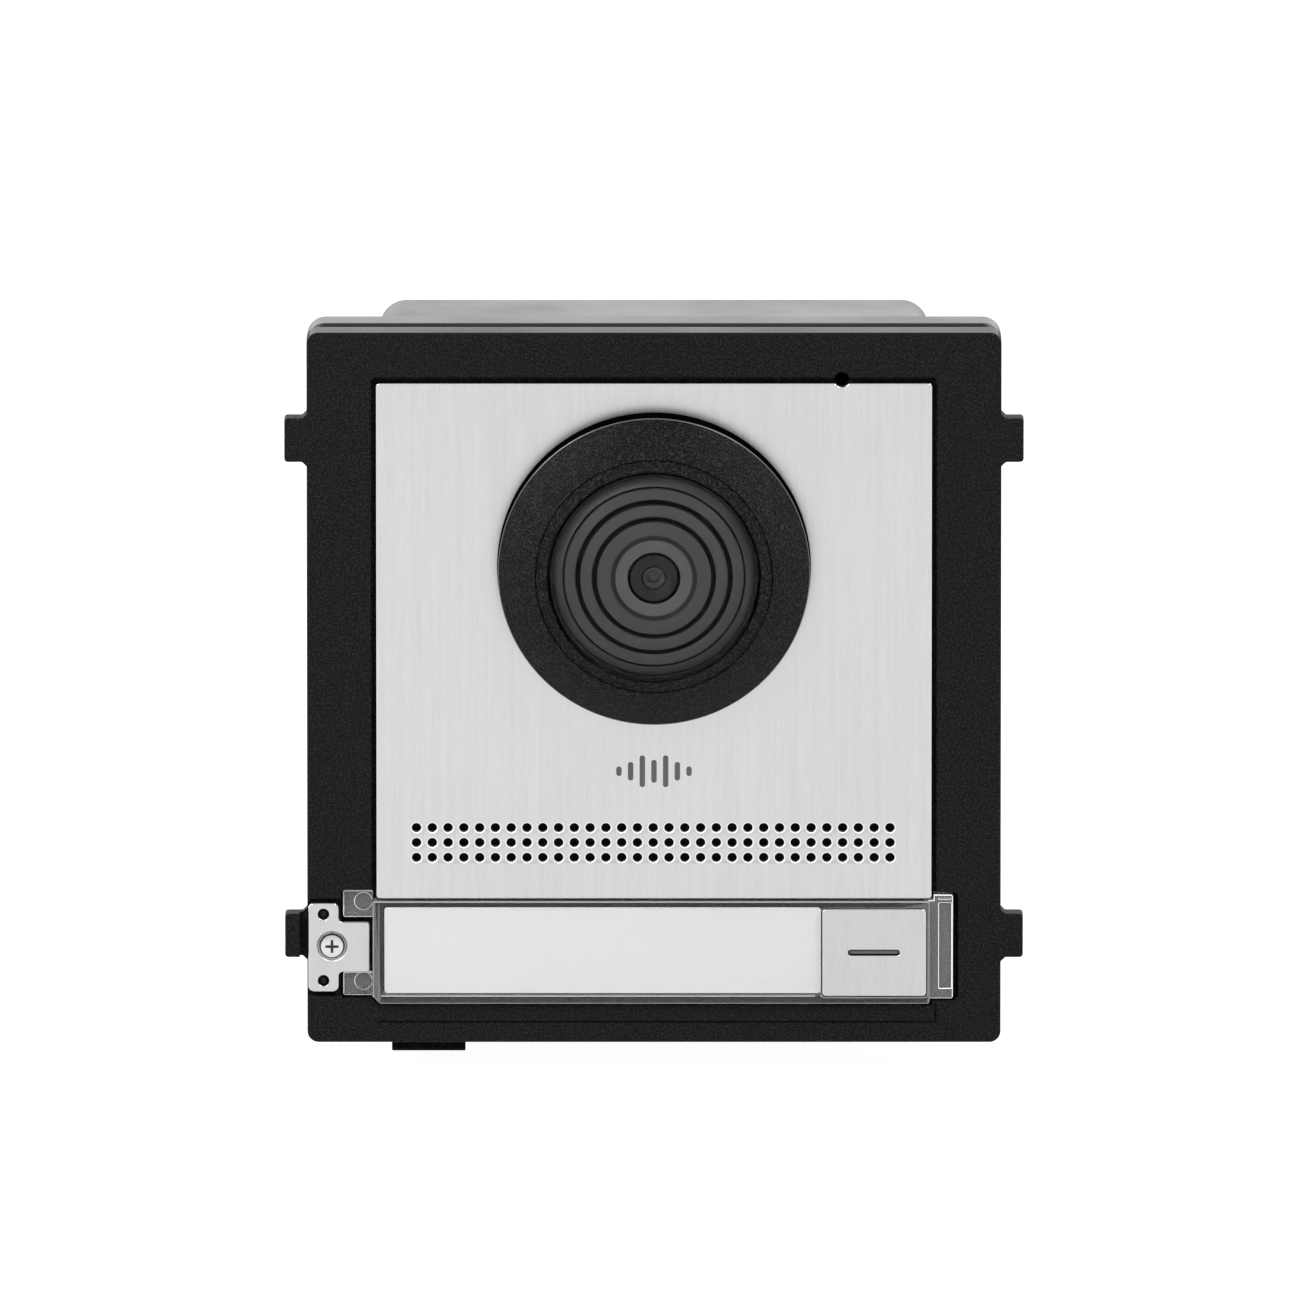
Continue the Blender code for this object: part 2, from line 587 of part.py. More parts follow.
def button_switch():
    """The sealing diaphragm, the key board and the tact switch with its plunger."""
    sheet = centred(BUTTON_X, BUTTON_Z, 14.6, 12.9, 1.0, 2)
    hole = circle(BUTTON_X, BUTTON_Z, BUTTON_STEM + GAP, 16)
    sheet_front = FRAME_BACK_Y + GAP
    prism("button_diaphragm", sheet, sheet_front, sheet_front + 0.7, "rubber", [hole])
    tip = BUTTON_STEM_TIP_Y + GAP
    end = tip + 1.5
    plunger = [(0, tip), (PLUNGER_RADIUS, tip), (PLUNGER_RADIUS, end), (0, end)]
    on_axis = (BUTTON_X, tip, BUTTON_Z)
    lathe("switch_plunger", plunger, BUTTON_X, BUTTON_Z, "connector_plastic", 16, on_axis)
    body_front = tip + 0.8
    body_back = body_front + 3.0
    outline = centred(BUTTON_X, BUTTON_Z, 6.0, 6.0)
    body = prism("switch_body", outline, body_front, body_back, "chip_black")
    cut(body, circle(BUTTON_X, BUTTON_Z, PLUNGER_RADIUS + GAP, 16), body_front - 1, end + 1.0)
    board = centred(27.0, BUTTON_Z, 14.0, 14.0, 0.5, 2)
    board_front = body_back + GAP
    prism("key_board", board, board_front, board_front + 1.2, "circuit_board")


# Retainer bracket


def retainer_bracket():
    """The T-shaped steel plate that locks the cover, dimpled round its screw."""
    left, bar, tip = -45.9, -41.9, -37.8
    bottom, tongue_bottom, tongue_top, top = -41.2, -38.5, -31.8, -29.2
    corners = [(left, bottom, 0.8), (bar, bottom, 0.8), (bar, tongue_bottom, 0.6), (tip, tongue_bottom, 0.3)]
    corners += [(tip, tongue_top, 0.3), (bar, tongue_top, 0.6), (bar, top, 0.8), (left, top, 0.8)]
    holes = [circle(x, z, BRACKET_PEG_RADIUS + GAP, 12) for x, z in BRACKET_PEGS]
    plate = prism("retainer_bracket", rounded(corners), BRACKET_FRONT_Y, BRACKET_BACK_Y, "steel", holes)
    dimple_front = BRACKET_FRONT_Y + BRACKET_DIMPLE
    join(plate, circle(*BRACKET_SCREW, 2.1, 20), dimple_front, BRACKET_BACK_Y + BRACKET_DIMPLE)
    cut(plate, circle(*BRACKET_SCREW, 1.8, 20), FRONT_Y - 1, dimple_front)
    cut(plate, circle(*BRACKET_SCREW, BRACKET_SCREW_HOLE, 12), FRONT_Y - 1, FRAME_BACK_Y)
    screw("retainer_screw", *BRACKET_SCREW, dimple_front - GAP, FRAME_BACK_Y - 0.9, 1.49, 0.45, 0.6)


# Housing and electronics


def housing_seal():
    """A flat frame of rubber between the front frame and the housing's flange."""
    margin, width = 0.4, 1.65
    outer = centred(0, 0, FRAME_WIDTH - 2 * margin, FRAME_HEIGHT - 2 * margin, 1.6, 3)
    inside = (FRAME_WIDTH - 2 * (margin + width), FRAME_HEIGHT - 2 * (margin + width))
    inner = centred(0, 0, *inside, 0.8, 3)
    prism("housing_seal", outer, FRAME_BACK_Y + GAP, FLANGE_FRONT_Y - GAP, "rubber", [inner])


def rear_housing():
    """The tub that closes the back: a flange like the frame's outline, and a drafted box."""
    half_width, half_height = FRAME_WIDTH / 2, FRAME_HEIGHT / 2
    rim = rectangle(-half_width, -half_height, half_width, half_height, FRAME_CORNER + 0.6, 5)
    housing = prism("rear_housing", rim, FLANGE_FRONT_Y, FLANGE_BACK_Y, "smooth_black")
    wide, narrow = (
        centred(0, 0, 2 * half_x, 2 * half_z, HOUSING_BOX_CORNER, 5)
        for half_x, half_z in (HOUSING_BOX_FRONT, HOUSING_BOX_BACK)
    )
    combine(housing, loft("join_housing_box", wide, FLANGE_BACK_Y - 1, narrow, 0), "UNION")
    cut(housing, rectangle(*HOUSING_INSIDE, 2.0, 3), FLANGE_FRONT_Y - 1, REAR_WALL_Y)
    for x in (-40.3, 40.3):
        cut(housing, centred(x, 0, 6.6, 76, 1.0, 2), FLANGE_FRONT_Y - 1, FLANGE_BACK_Y - 2.2)
    head_radius, head_height = HOUSING_SCREW_HEAD
    head_y = FLANGE_BACK_Y - HOUSING_SCREW_SINK + GAP
    for number, (x, z) in enumerate(HOUSING_SCREWS, 1):
        hole = circle(x, z, HOUSING_SCREW_SHAFT + GAP, 12)
        sink = circle(x, z, head_radius + GAP, 16)
        cut(housing, hole, FLANGE_FRONT_Y - 1, FLANGE_BACK_Y + 1)
        cut(housing, sink, FLANGE_BACK_Y - HOUSING_SCREW_SINK, FLANGE_BACK_Y + 1)
        name = f"housing_screw_{number}"
        screw(name, x, z, head_y, FRAME_BACK_Y - 2.0, head_radius, head_height, HOUSING_SCREW_SHAFT)
    for x, z in BOARD_SCREWS:
        join(housing, circle(x, z, 2.6, 16), CONNECTOR_FRONT_Y, REAR_WALL_Y + 0.5)
        cut(housing, circle(x, z, BOARD_SCREW_HOLE, 12), CONNECTOR_FRONT_Y - 1, CONNECTOR_FRONT_Y + 7)
    for x, z, width, height in (JACK, TERMINALS, *LINKS.values()):
        cut(housing, centred(x, z, width + 2 * GAP, height + 2 * GAP, 0.4, 2), REAR_WALL_Y - 1, 1)
    cut(housing, circle(TAMPER_X, TAMPER_Z, TAMPER_RADIUS + GAP, 16), REAR_WALL_Y - 1, 1)
    latch_bay = rectangle(LATCH_LEFT - 2 * GAP, -half_height - 1, LATCH_RIGHT + 2 * GAP, -45.0)
    cut(housing, latch_bay, FLANGE_BACK_Y - 1.0, REAR_WALL_Y - 0.5)


def main_board():
    """The main board with its processor, screwed to four posts."""
    holes = [circle(x, z, BOARD_SCREW_HOLE, 12) for x, z in BOARD_SCREWS]
    outline = rectangle(-34.0, -42.9, 34.0, 44.0, 1.0, 2)
    prism("main_board", outline, BOARD_FRONT_Y, BOARD_BACK_Y, "circuit_board", holes)
    prism("processor", centred(0, 12, 14, 14), BOARD_FRONT_Y - 1.5, BOARD_FRONT_Y - GAP, "chip_black")
    for number, (x, z) in enumerate(BOARD_SCREWS, 1):
        name = f"board_screw_{number}"
        shaft = BOARD_SCREW_HOLE - GAP
        screw(name, x, z, BOARD_FRONT_Y - GAP, CONNECTOR_FRONT_Y + 6, 2.1, 1.3, shaft)


def connectors():
    """The network jack, the terminal block and the two link sockets on the board's back."""
    x, z, width, height = JACK
    jack = prism("network_jack", centred(x, z, width, height), CONNECTOR_FRONT_Y, -0.6, "magnet_metal")
    cut(jack, centred(x, z, 11.9, 6.9), -11.6, 1)
    cut(jack, centred(x, z - 4.3, 6.2, 2.6), -11.6, 1)
    x, z, width, height = TERMINALS
    block = prism("terminal_block", centred(x, z, width, height), CONNECTOR_FRONT_Y, -0.8, "terminal_green")
    poles = 8
    pitch = 3.3
    for pole in range(poles):
        cut(block, centred(x + (pole - (poles - 1) / 2) * pitch, z - 1.4, 2.4, 2.6), -6.0, 1)
    for name, (x, z, width, height) in LINKS.items():
        socket = prism(name, centred(x, z, width, height), CONNECTOR_FRONT_Y, -1.0, "connector_plastic")
        cut(socket, centred(x, z, width - 2.4, height - 2.4), -8.0, 1)


def tamper_switch():
    """The switch body and the plunger that a wall presses in."""
    body_back = -12.0
    neck = 1.0
    outline = centred(TAMPER_X, TAMPER_Z, 7.0, 7.0)
    body = prism("tamper_switch", outline, CONNECTOR_FRONT_Y, body_back, "chip_black")
    cut(body, circle(TAMPER_X, TAMPER_Z, neck + 0.4, 12), body_back - 3.0, body_back + 1)
    profile = [(0, body_back - 1.0), (neck, body_back - 1.0), (neck, body_back + 3.0)]
    profile += [(TAMPER_RADIUS, body_back + 3.4), (TAMPER_RADIUS, TAMPER_TIP_Y - 0.4)]
    profile += [(TAMPER_RADIUS - 0.4, TAMPER_TIP_Y), (0, TAMPER_TIP_Y)]
    on_axis = (TAMPER_X, TAMPER_TIP_Y, TAMPER_Z)
    lathe("tamper_plunger", profile, TAMPER_X, TAMPER_Z, "connector_plastic", 16, on_axis)


def bottom_latch():
    """The snap arm under the housing: an arm along Y with a foot that hangs below the frame."""
    arm_bottom, arm_top, arm_back = -47.9, -46.4, -3.2
    foot_back = LATCH_FRONT_Y + 1.9
    side = [(LATCH_FRONT_Y, LATCH_TIP_Z), (LATCH_FRONT_Y, arm_top), (arm_back, arm_top)]
    side += [(arm_back, arm_bottom), (foot_back + 0.8, arm_bottom), (foot_back, arm_bottom - 0.8)]
    side += [(foot_back, LATCH_TIP_Z + 0.6), (foot_back - 0.6, LATCH_TIP_Z)]
    bm = bmesh.new()
    face = bm.faces.new([bm.verts.new((LATCH_LEFT, y, z)) for y, z in side])
    raised = bmesh.ops.extrude_face_region(bm, geom=[face])
    moved = [item for item in raised["geom"] if isinstance(item, bmesh.types.BMVert)]
    bmesh.ops.translate(bm, verts=moved, vec=(LATCH_RIGHT - LATCH_LEFT, 0, 0))
    add_object("bottom_latch", bm, "textured_black", LATCH_PIVOT)


clear_scene()
front_frame()
faceplate()
camera_ring()
camera_bezel()
camera_window()
window_seal()
lens_baffle()
lens_parts()
speaker_parts()
microphone_parts()
name_cover()
name_card()
call_button()
button_switch()
retainer_bracket()
housing_seal()
rear_housing()
main_board()
connectors()
tamper_switch()
bottom_latch()
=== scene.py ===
"""Door intercom module in a plain pale studio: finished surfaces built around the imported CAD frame.

Lengths are in millimetres until a mesh is made, and places come from the boxes of the CAD nodes.
"""

import math

import bmesh
import bpy
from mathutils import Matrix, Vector


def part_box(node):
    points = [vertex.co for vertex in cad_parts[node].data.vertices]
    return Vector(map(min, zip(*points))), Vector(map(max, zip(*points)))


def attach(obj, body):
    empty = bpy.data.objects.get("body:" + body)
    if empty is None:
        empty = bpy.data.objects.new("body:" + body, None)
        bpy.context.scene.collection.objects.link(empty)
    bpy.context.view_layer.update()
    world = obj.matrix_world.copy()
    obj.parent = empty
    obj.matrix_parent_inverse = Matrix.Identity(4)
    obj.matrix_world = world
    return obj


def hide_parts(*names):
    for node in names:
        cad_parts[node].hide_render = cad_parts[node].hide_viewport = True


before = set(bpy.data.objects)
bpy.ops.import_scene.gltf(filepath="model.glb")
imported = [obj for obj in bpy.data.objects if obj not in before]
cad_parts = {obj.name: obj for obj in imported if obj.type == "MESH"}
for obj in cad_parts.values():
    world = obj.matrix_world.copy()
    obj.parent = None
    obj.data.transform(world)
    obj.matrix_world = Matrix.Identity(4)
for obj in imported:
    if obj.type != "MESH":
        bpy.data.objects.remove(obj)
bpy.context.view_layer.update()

MM = 0.001
BODY = "module"
SEGMENTS = 128
WHITE = (1, 1, 1, 1)


class Box:
    """The box of one CAD node, in millimetres."""

    def __init__(self, node):
        low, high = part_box(node)
        self.left, self.front, self.bottom = (v / MM for v in low)
        self.right, self.back, self.top = (v / MM for v in high)
        self.x = (self.left + self.right) / 2
        self.z = (self.bottom + self.top) / 2
        self.radius = self.right - self.x
        self.width = self.right - self.left
        self.height = self.top - self.bottom


BOX = {name: Box(name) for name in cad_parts}


# Outlines: lists of (x, z) points


def rounded(corners, steps=8):
    """A closed outline from (x, z, radius) corners, each radius drawn as an arc."""
    outline = []
    for i, (x, z, radius) in enumerate(corners):
        if radius == 0:
            outline.append((x, z))
            continue
        here = Vector((x, z))
        to_last = (Vector(corners[i - 1][:2]) - here).normalized()
        to_next = (Vector(corners[(i + 1) % len(corners)][:2]) - here).normalized()
        half = to_last.angle(to_next) / 2
        centre = here + (to_last + to_next).normalized() * (radius / math.sin(half))
        start = here + to_last * (radius / math.tan(half)) - centre
        end = here + to_next * (radius / math.tan(half)) - centre
        first = math.atan2(start.y, start.x)
        sweep = (math.atan2(end.y, end.x) - first + math.pi) % (2 * math.pi) - math.pi
        for k in range(steps + 1):
            angle = first + sweep * k / steps
            outline.append((centre.x + radius * math.cos(angle), centre.y + radius * math.sin(angle)))
    return outline


def rectangle(left, bottom, right, top, corner=0.0, steps=8):
    corners = ((left, bottom), (right, bottom), (right, top), (left, top))
    return rounded([(x, z, corner) for x, z in corners], steps)


def centred(x, z, width, height, corner=0.0, steps=8):
    return rectangle(x - width / 2, z - height / 2, x + width / 2, z + height / 2, corner, steps)


def around(box, margin, corner, steps):
    """The rectangle of a node's box, seen from the front, grown by a margin."""
    return centred(box.x, box.z, box.width + 2 * margin, box.height + 2 * margin, corner, steps)


def circle(x, z, radius, segments=SEGMENTS):
    turns = [2 * math.pi * k / segments for k in range(segments)]
    return [(x + radius * math.cos(t), z + radius * math.sin(t)) for t in turns]


def spread(middle, count, pitch):
    """Evenly spaced values about the middle."""
    return [middle + (i - (count - 1) / 2) * pitch for i in range(count)]


def offset(outline, distance):
    """The outline moved inwards by that distance, or outwards where it is negative."""
    if distance == 0:
        return list(outline)
    count = len(outline)
    pairs = list(zip(outline[-1:] + outline[:-1], outline))
    side = math.copysign(1, sum(ax * bz - bx * az for (ax, az), (bx, bz) in pairs))
    moved = []
    for i, (x, z) in enumerate(outline):
        after_x, after_z = outline[(i + 1) % count]
        before = Vector((x - outline[i - 1][0], z - outline[i - 1][1])).normalized()
        after = Vector((after_x - x, after_z - z)).normalized()
        normal = Vector((-(before.y + after.y), before.x + after.x)).normalized() * side
        reach = distance / max(0.35, normal.dot(Vector((-after.y, after.x)) * side))
        moved.append((x + normal.x * reach, z + normal.y * reach))
    return moved


def fillet(radius, steps=4):
    """(inset, depth) pairs down a quarter-round edge."""
    if radius == 0:
        return [(0, 0)]
    turns = [math.pi / 2 * k / steps for k in range(steps + 1)]
    return [(radius * (1 - math.sin(t)), radius * (1 - math.cos(t))) for t in turns]


def wall(outline, y_front, y_back, front, back, sense=1):
    """The rings of a wall with rounded front and back edges. With sense -1 it's a hole's wall."""
    steps = [(inset, y_front + depth) for inset, depth in fillet(front)]
    steps += [(inset, y_back - depth) for inset, depth in reversed(fillet(back))]
    return [(offset(outline, sense * inset), y) for inset, y in steps]


# Meshes


def new_object(name, data):
    obj = bpy.data.objects.new(name, data)
    bpy.context.scene.collection.objects.link(obj)
    return obj


def mesh_object(name, bm):
    bmesh.ops.remove_doubles(bm, verts=bm.verts, dist=1e-5)
    bmesh.ops.recalc_face_normals(bm, faces=bm.faces)
    bmesh.ops.scale(bm, verts=bm.verts, vec=(MM, MM, MM))
    mesh = bpy.data.meshes.new(name)
    bm.to_mesh(mesh)
    bm.free()
    return new_object(name, mesh)


def shell(name, walls):
    """A solid whose walls are stacks of rings. The first wall is the outside, the others are holes."""
    bm = bmesh.new()
    ends = ([], [])
    for rings in walls:
        loops = [[bm.verts.new((x, y, z)) for x, z in outline] for outline, y in rings]
        for near, far in zip(loops, loops[1:]):
            for i in range(len(near)):
                bm.faces.new((near[i - 1], near[i], far[i], far[i - 1]))
        for end, loop in zip(ends, (loops[0], loops[-1])):
            end += [bm.edges.get((loop[i - 1], loop[i])) for i in range(len(loop))]
    for end in ends:
        bmesh.ops.triangle_fill(bm, edges=end, use_beauty=True)
    return mesh_object(name, bm)


def slab(name, outline, y_front, y_back, front=0.2, back=0.1, holes=()):
    """An extruded outline with rounded edges, and with holes whose mouths are rounded too."""
    walls = [wall(outline, y_front, y_back, front, back)]
    walls += [wall(hole, y_front, y_back, 0.1, 0, -1) for hole in holes]
    return shell(name, walls)


def pocket(outline, y_surface, y_floor, mouth=0.15, floor=0.2):
    """A cutter for a pocket: it flares where it breaks the surface and rounds in at its floor."""
    rings = [(offset(outline, -mouth), y_surface - 1.0)]
    rings += [(offset(outline, -inset), y_surface + depth) for inset, depth in fillet(mouth)]
    rings += [(offset(outline, inset), y_floor - depth) for inset, depth in reversed(fillet(floor))]
    return shell("cutter", [rings])


def pocket_from_back(outline, y_surface, depth, mouth=0.15):
    """A cutter for a pocket in a back face, with a flared mouth."""
    flared = offset(outline, -mouth)
    rings = [(outline, y_surface - depth), (outline, y_surface - mouth)]
    return shell("cutter", [rings + [(flared, y_surface), (flared, y_surface + 1.0)]])


def through(outline, y_front, y_back):
    return shell("cutter", [[(outline, y_front), (outline, y_back)]])


def lathe(name, profile, box, segments=SEGMENTS):
    """A closed (radius, y) profile turned about the line along Y through the middle of a box."""
    bm = bmesh.new()
    rings = []
    for radius, y in profile:
        if radius == 0:
            rings.append([bm.verts.new((box.x, y, box.z))] * segments)
        else:
            ring = circle(box.x, box.z, radius, segments)
            rings.append([bm.verts.new((x, y, z)) for x, z in ring])
    pairs = list(zip(rings, rings[1:]))
    if profile[0][0] > 0:
        pairs.append((rings[-1], rings[0]))
    for near, far in pairs:
        for i in range(segments):
            bm.faces.new(list(dict.fromkeys((near[i - 1], near[i], far[i], far[i - 1]))))
    return mesh_object(name, bm)


def levels(start, *points):
    """(radius, y) points, each y counted backwards from the start."""
    return [(radius, start + depth) for radius, depth in points]


def side_prisms(name, side, spans):
    """Solids that share one (y, z) outline, one for each (left, right) span along X."""
    bm = bmesh.new()
    for span in spans:
        rims = [[bm.verts.new((x, y, z)) for y, z in side] for x in span]
        for rim in rims:
            bm.faces.new(rim)
        for i in range(len(side)):
            bm.faces.new((rims[0][i - 1], rims[0][i], rims[1][i], rims[1][i - 1]))
    return mesh_object(name, bm)


def softened(profile, radius):
    """A turned profile with its corners rounded. Corners on the axis stay as they are."""
    corners = []
    for i, (r, y) in enumerate(profile):
        neighbours = (profile[i - 1], profile[(i + 1) % len(profile)])
        shortest = min(math.dist(other, (r, y)) for other in neighbours)
        corners.append((r, y, 0 if r == 0 else min(radius, shortest * 0.4)))
    return rounded(corners, 3)


def boolean(target, others, operation="DIFFERENCE"):
    """Cuts the others out of the target, or joins them to it, and leaves one plain mesh."""
    for other in others:
        modifier = target.modifiers.new("shape", "BOOLEAN")
        modifier.solver = "EXACT"
        modifier.operation = operation
        modifier.object = other
    graph = bpy.context.evaluated_depsgraph_get()
    mesh = bpy.data.meshes.new_from_object(target.evaluated_get(graph))
    target.modifiers.clear()
    target.data = mesh
    for other in others:
        bpy.data.objects.remove(other)
    return target


def boolean_each(target, cutters, operation="DIFFERENCE"):
    """The same, with one boolean at a time, in the order of the list."""
    for cutter in cutters:
        boolean(target, [cutter], operation)


def finish_piece(obj, material, slot, *nodes, body=BODY):
    """Shades the piece, gives it its material, hangs it on its body's empty and hides the CAD nodes it
    stands for.
    """
    obj.data.materials.clear()
    obj.data.materials.append(material)
    obj.data.shade_smooth()
    obj.data.set_sharp_from_angle(angle=math.radians(35))
    weighted = obj.modifiers.new("normals", "WEIGHTED_NORMAL")
    weighted.keep_sharp = True
    weighted.weight = 80
    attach(obj, body)
    if nodes:
        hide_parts(*nodes)
    return obj


def repaint(obj, material, test):
    """Gives another material to the faces that pass the test on their centre (mm) and normal."""
    obj.data.materials.append(material)
    index = len(obj.data.materials) - 1
    for face in obj.data.polygons:
        if test(face.center / MM, face.normal):
            face.material_index = index


def reach(point, box):
    """How far a point is from the line along Y through the middle of a node's box."""
    return math.hypot(point.x - box.x, point.z - box.z)


def on_bevel(normal):
    """Whether a face slants between the front and a side."""
    return -0.97 < normal.y < -0.1


# Materials


def add_node(tree, kind, **inputs):
    """A new shader node. Its inputs take numbers, colours or the outputs of other nodes."""
    node = tree.nodes.new("ShaderNode" + kind)
    for name, value in inputs.items():
        socket = node.inputs[name.replace("_", " ")]
        if isinstance(value, bpy.types.NodeSocket):
            tree.links.new(value, socket)
        else:
            socket.default_value = value
    return node


class Paint:
    """One Principled material and the nodes that feed it."""

    def __init__(self, name, colour, roughness, metallic=0.0, **sockets):
        self.material = bpy.data.materials.new(name)
        self.material.use_nodes = True
        self.tree = self.material.node_tree
        self.shader = self.tree.nodes["Principled BSDF"]
        self.colour = colour
        sockets.update(Base_Color=(*colour, 1.0), Roughness=roughness, Metallic=metallic)
        for socket, value in sockets.items():
            self.shader.inputs[socket.replace("_", " ")].default_value = value
        self.place = self.node("TexCoord").outputs["Object"]

    def node(self, kind, **inputs):
        return add_node(self.tree, kind, **inputs)

    def feed(self, value, socket):
        self.tree.links.new(value, self.shader.inputs[socket])

    def stretched(self, x, y, z):
        """Object coordinates scaled on each axis, for grain that runs one way."""
        return self.node("Mapping", Vector=self.place, Scale=(x, y, z)).outputs["Vector"]

    def noise(self, scale, detail=3.0, roughness=0.55, vector=None):
        vector = vector or self.place
        node = self.node("TexNoise", Vector=vector, Scale=scale, Detail=detail, Roughness=roughness)
        return node.outputs["Fac"]

    def remap(self, value, low, high, start=0.3, end=0.7):
        """The value, stretched so that start to end becomes low to high."""
        node = self.node("MapRange", Value=value, From_Min=start, From_Max=end, To_Min=low, To_Max=high)
        return node.outputs["Result"]

    def mix(self, factor, first, second):
        """A colour between two colours."""
        node = self.tree.nodes.new("ShaderNodeMix")
        node.data_type = "RGBA"
        colours = [socket for socket in node.inputs if socket.type == "RGBA"]
        for socket, colour in zip(colours, (first, second)):
            socket.default_value = (*colour, 1.0)
        self.tree.links.new(factor, node.inputs["Factor"])
        return next(socket for socket in node.outputs if socket.type == "RGBA")

    def combine(self, first, second, operation="ADD"):
        node = self.node("Math")
        node.operation = operation
        for socket, value in zip(node.inputs, (first, second)):
            if isinstance(value, float):
                socket.default_value = value
            else:
                self.tree.links.new(value, socket)
        return node.outputs["Value"]

    def shade(self, value, spread):
        """Varies the base colour by a share of itself."""
        dark = tuple(c * (1 - spread) for c in self.colour)
        light = tuple(min(1.0, c * (1 + spread)) for c in self.colour)
        self.feed(self.mix(self.remap(value, 0.0, 1.0), dark, light), "Base Color")

    def rough(self, value, low, high):
        self.feed(self.remap(value, low, high), "Roughness")

    def bump(self, value, depth):
        """Relief of that depth in millimetres."""
        node = self.node("Bump", Strength=1.0, Distance=depth * MM, Height=value)
        self.feed(node.outputs["Normal"], "Normal")


def textured_plastic(name, colour, roughness, grain, depth, specular, highlight_gain=3.0):
    """Moulded black plastic with a leather-like grain, that wide in millimetres.

    The high spots of the grain are painted highlights, that many times lighter than the plastic, and its
    pits are painted shade, darker than it.
    """
    paint = Paint(name, colour, roughness, Specular_IOR_Level=specular)
    coarse = paint.noise(1 / (grain * MM), 2.0, 0.5)
    fine = paint.noise(2.6 / (grain * MM), 2.0, 0.6)
    pits = paint.remap(coarse, 0.0, 1.0, 0.38, 0.62)
    relief = paint.combine(pits, paint.combine(fine, 0.5, "MULTIPLY"))
    paint.bump(relief, depth)
    # Painted light: painted shade in the grain's pits and painted highlights on its high spots.
    dark = tuple(c * 0.4 for c in colour)
    light = tuple(c * highlight_gain for c in colour)
    painted_highlight_and_shade = paint.remap(relief, 0.0, 1.0, 0.70, 1.15)
    paint.feed(paint.mix(painted_highlight_and_shade, dark, light), "Base Color")
    paint.rough(coarse, roughness - 0.12, roughness + 0.12)
    return paint.material


def smooth_plastic(name, colour, roughness, specular=0.5):
    """Smooth moulded plastic with faint flow marks."""
    paint = Paint(name, colour, roughness, Specular_IOR_Level=specular)
    cloud = paint.noise(60, 4.0)
    paint.rough(cloud, roughness - 0.04, roughness + 0.06)
    paint.shade(cloud, 0.08)
    paint.bump(paint.noise(900, 3.0), 0.004)
    return paint.material


def brushed_steel(name, colour, roughness, streak=0.1, length=6.0, spread=0.06):
    """Stainless sheet brushed along Z, with streaks that wide and long in millimetres."""
    paint = Paint(name, colour, roughness, 1.0)
    grain = paint.stretched(1.0, 1.0, streak / length)
    fine = paint.noise(1 / (streak * MM), 3.0, 0.65, grain)
    broad = paint.noise(0.12 / (streak * MM), 3.0, 0.6, grain)
    cloud = paint.noise(25, 2.0)
    streaks = paint.combine(fine, paint.combine(broad, 0.5, "MULTIPLY"))
    mixed = paint.combine(streaks, paint.combine(cloud, 0.3, "MULTIPLY"))
    paint.shade(paint.combine(mixed, 1.8, "DIVIDE"), spread)
    paint.rough(fine, roughness - 0.05, roughness + 0.07)
    paint.bump(fine, 0.0025)
    return paint.material


def clear_plastic(name, colour, roughness, ior, clarity=1.0, painted_glow=0.0):
    """Clear moulding. A clarity below 1 leaves a share of milky haze, and glow is painted light: the
    moulding glows though it is no lamp.
    """
    light = {"Emission_Color": WHITE, "Emission_Strength": painted_glow}
    paint = Paint(name, colour, roughness, IOR=ior, Transmission_Weight=clarity, **light)
    paint.bump(paint.noise(250, 2.0), 0.0008)
    return paint.material


def plain_metal(name, colour, roughness):
    paint = Paint(name, colour, roughness, 1.0)
    paint.rough(paint.noise(1500, 3.0), roughness - 0.05, roughness + 0.08)
    paint.bump(paint.noise(2500, 2.0), 0.001)
    return paint.material


def soft_matt(name, colour, roughness, grain=0.08, painted_glow=0.0):
    """Card, diffuser and rubber: matt, with a fibre or grain that wide in millimetres, and a glow that
    is painted light.
    """
    light = {"Emission_Color": WHITE, "Emission_Strength": painted_glow}
    paint = Paint(name, colour, roughness, Specular_IOR_Level=0.3, **light)
    fibre = paint.noise(1 / (grain * MM), 4.0, 0.6)
    paint.shade(fibre, 0.02)
    paint.bump(fibre, 0.006)
    return paint.material


def circuit_board(name):
    """Green solder mask over faint copper tracks on a grid."""
    mask = (0.012, 0.11, 0.055)
    paint = Paint(name, mask, 0.38)
    colours = {"Color1": (*mask, 1), "Color2": (0.010, 0.09, 0.045, 1), "Mortar": (0.03, 0.20, 0.09, 1)}
    flat = paint.node("Mapping", Vector=paint.place, Rotation=(math.pi / 2, 0, 0)).outputs["Vector"]
    tracks = paint.node("TexBrick", Vector=flat, Scale=140, Mortar_Size=0.06, **colours)
    paint.feed(tracks.outputs["Color"], "Base Color")
    paint.bump(paint.noise(1800, 2.0), 0.004)
    return paint.material


def woven_cloth(name):
    """Black acoustic cloth: crossed waves of thread."""
    paint = Paint(name, (0.012, 0.012, 0.013), 0.85, Specular_IOR_Level=0.2)
    waves = []
    for direction in ("X", "Z"):
        wave = paint.node("TexWave", Vector=paint.place, Scale=1400)
        wave.bands_direction = direction
        waves.append(wave.outputs["Fac"])
    weave = paint.combine(*waves, "MULTIPLY")
    paint.bump(weave, 0.03)
    paint.shade(weave, 0.3)
    return paint.material
